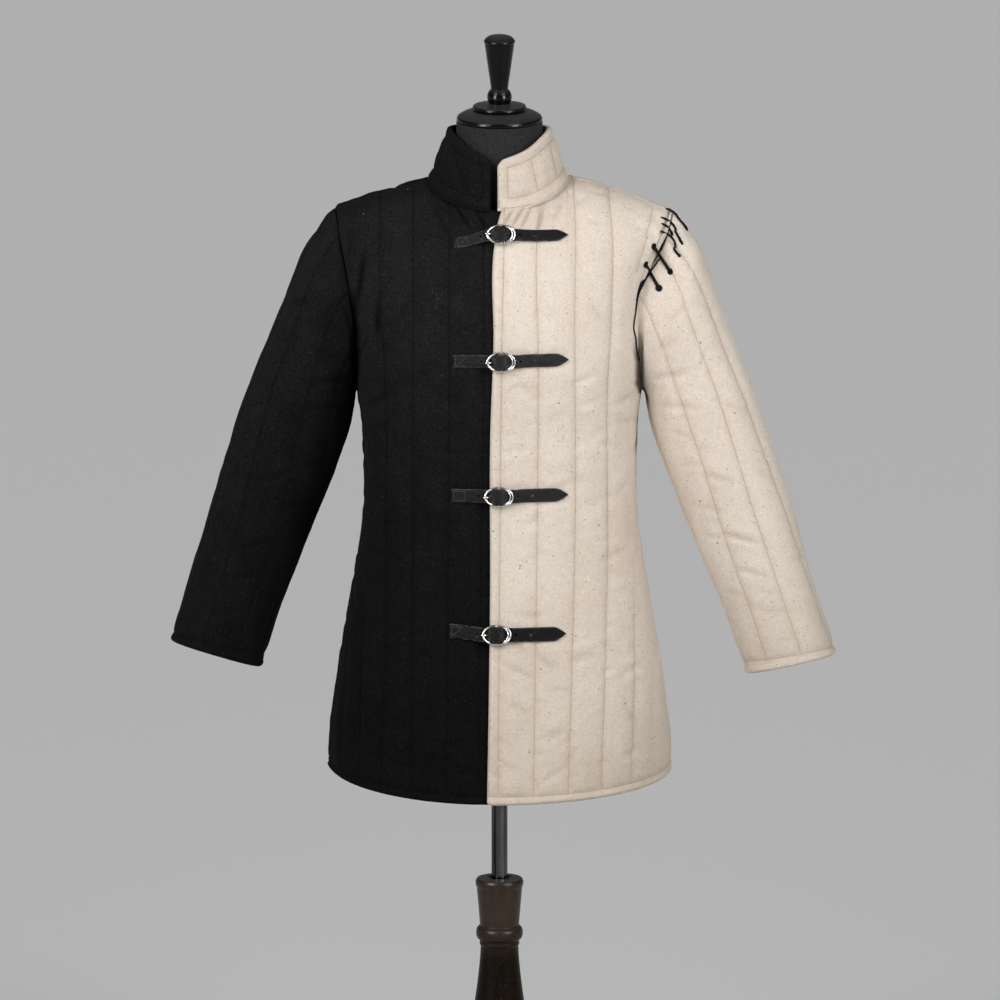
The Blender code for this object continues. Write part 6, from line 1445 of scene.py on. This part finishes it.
    # painted highlight on the two lobes of leather over the bar
    hump_painted_highlight = np.exp(-((co[:, 0] - cx - 0.008) / 0.004) ** 2) * 0.45 + np.exp(-((co[:, 0] - cx + 0.010) / 0.004) ** 2) * 0.45
    if "wear_and_painted_highlight" in mesh.attributes:
        mesh.attributes.remove(mesh.attributes["wear_and_painted_highlight"])
    mesh.attributes.new("wear_and_painted_highlight", "FLOAT", "POINT").data.foreach_set("value", np.clip(np.maximum.reduce([wear_and_painted_highlight, box, around_hole, hump_painted_highlight]), 0, 1).astype(np.float32))
    # how much painted sheen each half of each strap gets
    painted_sheen = (0.22, 0.95, 0.60, 0.0)[number - 1] * ease(-0.010, 0.012, co[:, 0] - cx) + (0.45, 0.50, 0.40, 0.10)[number - 1] * (1 - ease(-0.010, 0.012, co[:, 0] - cx))
    mesh.attributes.new("painted_sheen", "FLOAT", "POINT").data.foreach_set("value", painted_sheen.astype(np.float32))
    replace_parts(strap, "strap_%d" % number)

    # the strap's sewn end: one row round the box and one across it, some of the legs in grey thread for wear and
    # painted glints
    group, bright = [], []
    top = lambda x, side_at: path[np.clip(np.searchsorted(xs, x), 0, rows - 1)] + across[np.clip(np.searchsorted(xs, x), 0, rows - 1)] * side_at + nor[np.clip(np.searchsorted(xs, x), 0, rows - 1)] * (STRAP_T / 2 * 1.03)
    x0, x1, b0 = f["left"] + 0.0030, f["left"] + 0.0175, 0.0064
    for inset in (0.0,):
        sides = [[(x0, -b0), (x1, -b0)], [(x1, -b0), (x1, b0)], [(x1, b0), (x0, b0)], [(x0, b0), (x0, -b0)], [(x0, -b0), (x1, b0)]]
        for leg, ((xa, ba), (xb, bb)) in enumerate(sides):
            t = np.linspace(0, 1, 30)
            pts = np.array([top(xa + (xb - xa) * q, ba + (bb - ba) * q) for q in t])
            nn = np.repeat(nor[5][None], 30, 0)
            stitches("box", pts, nn, CORD, pitch=0.0026, long=0.0021, wide=0.00048, high=0.00045, seed=300 + number * 9 + leg, group=bright if rng.uniform() < (0.9, 0.6, 0.45, 0.5)[number - 1] else group)
    sew("box_stitches_%d" % number, group, CORD, "black_leather")
    sew("box_stitches_worn_%d" % number, bright, GREY_THREAD, "black_leather")

    # the ring with its second outline on the right, the bar, the prong and the chape
    t = np.linspace(0, 2 * np.pi, 112, endpoint=False)
    blunt = lambda k: np.interp(np.cos(k), (-1.0, -0.5, 0.5, 1.0), (1.16, 1.04, 0.92, 0.92))
    first = np.array([spot(0.0189 * np.sign(np.cos(k)) * abs(np.cos(k)) ** (1.0 if np.cos(k) < 0 else 0.90), 0.0128 * np.sign(np.sin(k)) * abs(np.sin(k)) ** blunt(k), 0.0120 - 0.0015 * np.sin(k) ** 2) for k in t])
    bend = lambda pts: (np.roll(pts, 1, 0) + 2 * pts + np.roll(pts, -1, 0)) / 4
    first = bend(first)
    gap = np.linalg.norm(np.diff(np.concatenate([first, first[:1]]), axis=0), axis=1)
    s = np.concatenate([[0], np.cumsum(gap)])
    even = np.linspace(0, s[-1], 97)[:-1]
    wrap = np.concatenate([first, first[:1]])
    first = np.stack([np.interp(even, s, wrap[:, c]) for c in range(3)], -1)
    t2 = np.linspace(-1.32, 1.32, 60)
    second = np.array([spot(0.0156 * np.cos(k) ** 0.9, 0.0121 * np.sin(k), 0.0127 - 0.0014 * np.sin(k) ** 2) for k in t2])
    bar = smooth_path([spot(0, b, c) for b, c in ((-0.0128, 0.0112), (-0.0114, 0.0100), (-0.0100, 0.0095), (0, 0.0095), (0.0100, 0.0095), (0.0114, 0.0100), (0.0128, 0.0112))], 0.0012)
    thin = np.interp(np.abs(np.linspace(-1, 1, len(second))), (0, 0.75, 1), (1.0, 0.95, 0.35))
    thick = 0.00138 - 0.00026 * np.clip(((first - mid) @ right) / 0.0187, -1, 1)
    parts = [tube_mesh(first, thick, 16, loop=True, up=mid_n), tube_mesh(second, 0.00110 * thin, 12, up=mid_n), tube_mesh(bar, BAR_R, 14, up=(1.0, 0, 0))]
    v, q, tr, _ = joined(parts)
    ring = build("buckle_frame_%d" % number, v, q, tr, materials=[STEEL], slot="steel")
    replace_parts(ring, "buckle_frame_%d" % number)
    eye = np.array([spot(0.0029 * np.cos(k), 0, 0.0095 + 0.0029 * np.sin(k)) for k in np.linspace(0, 2 * np.pi, 36, endpoint=False)])
    needle = smooth_path([spot(*p) for p in ((-0.0029, 0, 0.0097), (-0.0050, 0, 0.0092), (-0.0075, 0, 0.0088), (-0.0098, 0, 0.0092), (-0.0118, 0, 0.0106), (-0.0138, 0, 0.0128), (-0.0160, 0, 0.0144), (-0.0187, 0, 0.0150), (-0.0212, 0, 0.0148))], 0.0006)
    size = np.interp(np.linspace(0, 1, len(needle)), (0, 0.3, 0.6, 0.85, 1), (0.0010, 0.0011, 0.0013, 0.0013, 0.0007))
    v, q, tr, _ = joined([tube_mesh(eye, PRONG_R, 12, loop=True, up=rise), tube_mesh(needle, size, 14, up=rise)])
    prong = build("prong_%d" % number, v, q, tr, materials=[STEEL], slot="steel")
    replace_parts(prong, "prong_%d" % number)

    turn = np.linspace(-0.5 * np.pi, -1.62 * np.pi, 28)
    flat_x = np.linspace(0.0285, 0.006, 16)
    level = RAISE * (1 - ease(0, 0.07, cx + flat_x - edge_x)) + 0.0008 + 0.0007
    cpath = [q for q in on_front(cx + flat_x, np.full(16, z0), level)[0]]
    cn = [mid_n] * 16
    for k in turn:
        a, c = 0.0026 * math.cos(k), 0.0095 + 0.0026 * math.sin(k)
        cpath.append(spot(a, 0, c))
        cn.append(-unit(right * a + mid_n * (c - 0.0095)))
    cpath, cn = np.array(cpath), np.array(cn)
    tan = unit(np.gradient(cpath, axis=0))
    wide = unit(np.cross(tan, cn))
    cn = unit(np.cross(wide, tan))
    u = np.array([-1, -0.97, -0.9, -0.5, 0, 0.5, 0.9, 0.97, 1.0])
    crown = np.array([0.3, 0.7, 1, 1, 1, 1, 1, 0.7, 0.3])
    o = cpath[:, None] + wide[:, None] * (u * 0.0072)[None, :, None] + cn[:, None] * (0.0007 * crown)[None, :, None]
    i = cpath[:, None] + wide[:, None] * (u * 0.0072)[None, :, None] - cn[:, None] * (0.0007 * crown)[None, :, None]
    rows, cols = len(cpath), len(u)
    shift = rows * cols
    c, r = np.arange(cols - 1), np.arange(rows - 1)
    quads = np.concatenate([grid_faces(rows, cols), grid_faces(rows, cols, shift=shift)[:, ::-1], np.stack([c + 1, c, c + shift, c + 1 + shift], -1),
                            np.stack([(rows - 1) * cols + c, (rows - 1) * cols + c + 1, (rows - 1) * cols + c + 1 + shift, (rows - 1) * cols + c + shift], -1),
                            np.stack([r * cols, (r + 1) * cols, (r + 1) * cols + shift, r * cols + shift], -1), np.stack([(r + 1) * cols + cols - 1, r * cols + cols - 1, r * cols + cols - 1 + shift, (r + 1) * cols + cols - 1 + shift], -1)])
    chape = build("chape_%d" % number, np.concatenate([o.reshape(-1, 3), i.reshape(-1, 3)]), quads, materials=[LEATHER], slot="black_leather")
    box_v = [spot(a, b, c) for a in (-0.008, 0.0075) for b in (-0.0017, 0.0017) for c in (0.0042, 0.020)]
    boolean(chape, helper("slot", box_v, [(0, 1, 3, 2), (4, 6, 7, 5), (0, 4, 5, 1), (2, 3, 7, 6), (0, 2, 6, 4), (1, 5, 7, 3)]), "DIFFERENCE")
    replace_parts(chape, "chape_%d" % number)

# ---------------------------------------------------------------- lacing of the left sleeve
braid = lambda a, s: 1 + 0.13 * np.maximum(np.sin(3 * a + s / 0.0011), np.sin(3 * a - s / 0.0011))


near_gap = []
for outer, normal in (panels[1, "front"], panels[1, "back"], arms[1]):
    q, m = outer.reshape(-1, 3), normal.reshape(-1, 3)
    keep = (q[:, 0] > 0.15) & (q[:, 2] > 1.20) & (q[:, 0] < 0.32)
    near_gap.append(np.concatenate([q[keep], m[keep]], 1))
near_gap = np.concatenate(near_gap)
side_on = np.stack([near_gap[:, 0], (near_gap[:, 2] - 1.033) * 0.97815 + near_gap[:, 1] * 0.20791], 1)
close = (near_gap[:, 2] - 1.033) * 0.20791 - near_gap[:, 1] * 0.97815


def on_cloth(x, y, reach=0.0026):
    """Height towards the viewer and normal of the cloth at a place read off the front view, or None over the gap."""
    at = np.array(((x - 500.5) * 0.00136, (500 - y) * 0.00136))
    d = np.linalg.norm(side_on - at, axis=1)
    d = np.where(near_gap[:, 4] > 0.5, 9, d)
    near = np.where(d < reach)[0]
    if not len(near):
        return at, None, None
    k = near[np.argmax(close[near])]
    near = near[close[near] > close[k] - 0.004]
    return at, float(np.average(close[near], weights=1 / (d[near] + 2e-4))), unit(near_gap[near, 3:].mean(0))


def place(at, depth):
    return np.array((at[0], 0.20791 * at[1] - 0.97815 * depth, 1.033 + 0.97815 * at[1] + 0.20791 * depth))


def strand(points, lifts):
    found = [on_cloth(x, y) for x, y in points]
    known = [k for k, f in enumerate(found) if f[1] is not None]
    depth = np.interp(np.arange(len(found)), known, [found[k][1] for k in known])
    return [place(f[0], d + up) for f, d, up in zip(found, depth, lifts)]


def eyelet(name, p, n, radius, wire, rim):
    """Hole worked over with thread and filled by its cord; the sleeve's have a paler rim."""
    u = unit(np.cross(n, np.array([0.2, 0.1, 1.0])))
    w = np.cross(n, u)
    k = np.linspace(0, 2 * np.pi, 72, endpoint=False)
    ring = np.array([p + radius * (u * np.cos(t) + w * np.sin(t)) for t in k])
    lobes = lambda a, s: 1 + 0.16 * np.abs(np.sin(s / radius * 9.0))
    plug = np.array([p - n * 0.0012, p - n * 0.0002, p + n * 0.0003])
    v, q, tr, owner = joined([tube_mesh(ring, wire, 10, loop=True, up=n, shape=lobes), tube_mesh(plug, np.array((radius, radius, radius * 0.8)), 24, up=u)])
    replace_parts(build(name, v, q, tr, materials=[CORD], slot="lace_cord"), name)
    if rim:
        wide = np.array([p - n * 0.0003 + (radius + wire + 0.0003) * (u * np.cos(t) + w * np.sin(t)) for t in k])
        v, q, tr, owner = joined([tube_mesh(wide, 0.00055, 8, loop=True, up=n, shape=lobes)])
        build("rim_" + name, v, q, tr, materials=[GREY_THREAD], slot="lace_cord")


LACED_AT = (
    ((653.5, 247.0), (657.5, 253.2), (661.6, 259.5), (665.7, 265.8), (669.7, 272.0)),
    ((645.5, 265.0), (648.8, 270.9), (652.0, 276.8), (655.3, 282.6), (658.5, 288.5)),
    ((660.8, 232.0), (666.5, 234.0), (671.0, 237.6), (673.8, 241.4), (675.0, 246.0), (674.2, 250.0), (679.0, 256.0)),
    ((662.0, 224.3), (665.3, 225.8), (668.2, 228.4), (670.4, 231.6), (671.8, 235.2)),
    ((661.4, 218.0), (665.8, 219.6), (669.8, 222.2), (673.2, 225.6), (675.2, 229.0), (675.4, 232.0), (678.6, 238.0), (681.8, 244.0)),
    ((666.7, 209.0), (671.0, 211.0), (674.8, 213.8), (677.4, 217.2), (680.0, 220.8), (683.8, 225.0), (687.0, 230.0)),
)
for k, points in enumerate(LACED_AT, 1):
    bar = k <= 2
    lifts = np.full(len(points), 0.0030 if bar else 0.0024)
    lifts[0] = lifts[-1] = 0.0008
    path = strand(points, lifts)
    size = np.interp(np.linspace(0, 1, 60), (0, 0.06, 0.2, 0.8, 0.94, 1), (1.1, 1.20, 1.12, 1.12, 1.25, 1.1) if bar else (0.55, 0.85, 0.82, 0.80, 1.0, 0.75))
    line = smooth_path(path, 0.0006)
    v, q, tr = tube_mesh(line, LACE_R * np.interp(np.linspace(0, 1, len(line)), np.linspace(0, 1, 60), size), 18, up=(0.5, 0.3, 1.0), shape=braid)
    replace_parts(build("lace_%d" % k, v, q, tr, materials=[CORD], slot="lace_cord"), "lace_%d" % k)
    for end, part in ((0, "body"), (-1, "sleeve")):
        at, depth, normal = on_cloth(*points[end])
        spot_at = place(at, depth + 0.0004) if depth is not None else path[end]
        normal = normal if normal is not None else unit(np.array((0.3, -0.9, 0.3)))
        sleeve_hole = part == "sleeve"
        if bar:
            eyelet("eyelet_%s_%d" % (part, k), spot_at, normal, 0.0031 if sleeve_hole else 0.0034, 0.0011, sleeve_hole)
        else:
            eyelet("eyelet_%s_%d" % (part, k), spot_at, normal, 0.0018 if sleeve_hole and k == 3 else 0.0011, 0.0006 if sleeve_hole else 0.0004, False)

run_at = ((660.6, 257.6), (655.4, 264.8), (650.0, 272.0), (645.0, 279.4), (641.0, 286.0), (638.6, 292.0), (637.2, 298.0), (636.2, 306.0), (635.0, 316.0), (633.6, 325.0), (633.8, 331.0), (635.6, 338.0), (636.2, 346.0), (637.4, 354.0), (639.6, 361.0))
line = smooth_path(strand(run_at, (0.0004, 0.0014, 0.0016, 0.0016, 0.0014, 0.0012, 0.0010, 0.0010, 0.0010, 0.0010, 0.0010, 0.0008, 0.0006, 0.0004, 0.0)), 0.0006)
v, q, tr = tube_mesh(line, LACE_R * np.interp(np.linspace(0, 1, len(line)), (0, 0.10, 0.22, 0.30, 0.40, 0.55, 1), (0.45, 0.65, 1.10, 1.55, 0.85, 0.55, 0.42)), 18, up=(1.0, 0.2, 0.1), shape=braid)
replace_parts(build("lace_run", v, q, tr, materials=[CORD], slot="lace_cord"), "lace_run")

# ---------------------------------------------------------------- floor, light and world
mesh = bpy.data.meshes.new("floor")
mesh.from_pydata([(-260, -260, 0), (260, -260, 0), (260, 260, 0), (-260, 260, 0)], [], [(0, 1, 2, 3)])
floor = bpy.data.objects.new("floor", mesh)
bpy.context.scene.collection.objects.link(floor)
paint = Look("floor_paint", rough=0.95, specular=0.0)
paint.shader.inputs["Base Color"].default_value = (0.82, 0.82, 0.82, 1)
mesh.materials.append(paint.mat)


def sun(name, azimuth, elevation, strength, angle, tint=(1, 1, 1)):
    light = bpy.data.lights.new(name, "SUN")
    light.energy, light.angle, light.color = strength, math.radians(angle), tint
    obj = bpy.data.objects.new(name, light)
    bpy.context.scene.collection.objects.link(obj)
    a, e = math.radians(azimuth), math.radians(elevation)
    towards = Vector((math.sin(a) * math.cos(e), -math.cos(a) * math.cos(e), math.sin(e)))
    obj.rotation_euler = towards.to_track_quat("Z", "Y").to_euler()
    obj.location = towards * 6
    return obj


def softbox(name, azimuth, elevation, distance, wide, tall, watts, aim=1.15):
    light = bpy.data.lights.new(name, "AREA")
    light.shape, light.size, light.size_y, light.energy = "RECTANGLE", wide, tall, watts
    obj = bpy.data.objects.new(name, light)
    bpy.context.scene.collection.objects.link(obj)
    a, e = math.radians(azimuth), math.radians(elevation)
    towards = Vector((math.sin(a) * math.cos(e), -math.cos(a) * math.cos(e), math.sin(e)))
    obj.rotation_euler = towards.to_track_quat("Z", "Y").to_euler()
    obj.location = Vector((0, 0, aim)) + towards * distance
    obj.visible_diffuse = obj.visible_camera = False
    return obj


sun("key", -45, 39, 1.03, 28)
sun("fill", 46, 39, 0.91, 34)
for name, x, y, z, watts, wide in (("lamp_left", -0.95, -1.65, 1.90, 9.7, 1.0), ("lamp_right", 1.05, -1.60, 1.88, 9.7, 1.0)):
    light = bpy.data.lights.new(name, "AREA")
    light.shape, light.size, light.energy = "DISK", wide, watts
    lamp = bpy.data.objects.new(name, light)
    bpy.context.scene.collection.objects.link(lamp)
    lamp.location = (x, y, z)
    lamp.rotation_euler = (Vector((x, y, z)) - Vector((0.0, 0.0, 1.22))).to_track_quat("Z", "Y").to_euler()
    lamp.visible_camera = lamp.visible_glossy = False
softbox("gloss_left", -44, 16, 3.2, 0.70, 1.5, 84)
softbox("gloss_right", 44, 16, 3.2, 0.70, 1.5, 76)

world = bpy.data.worlds.new("studio")
world.use_nodes = True
world.node_tree.nodes["Background"].inputs[0].default_value = (0.80, 0.80, 0.80, 1)
world.node_tree.nodes["Background"].inputs[1].default_value = 0.163
bpy.context.scene.world = world
bpy.context.scene.view_settings.view_transform = "Standard"
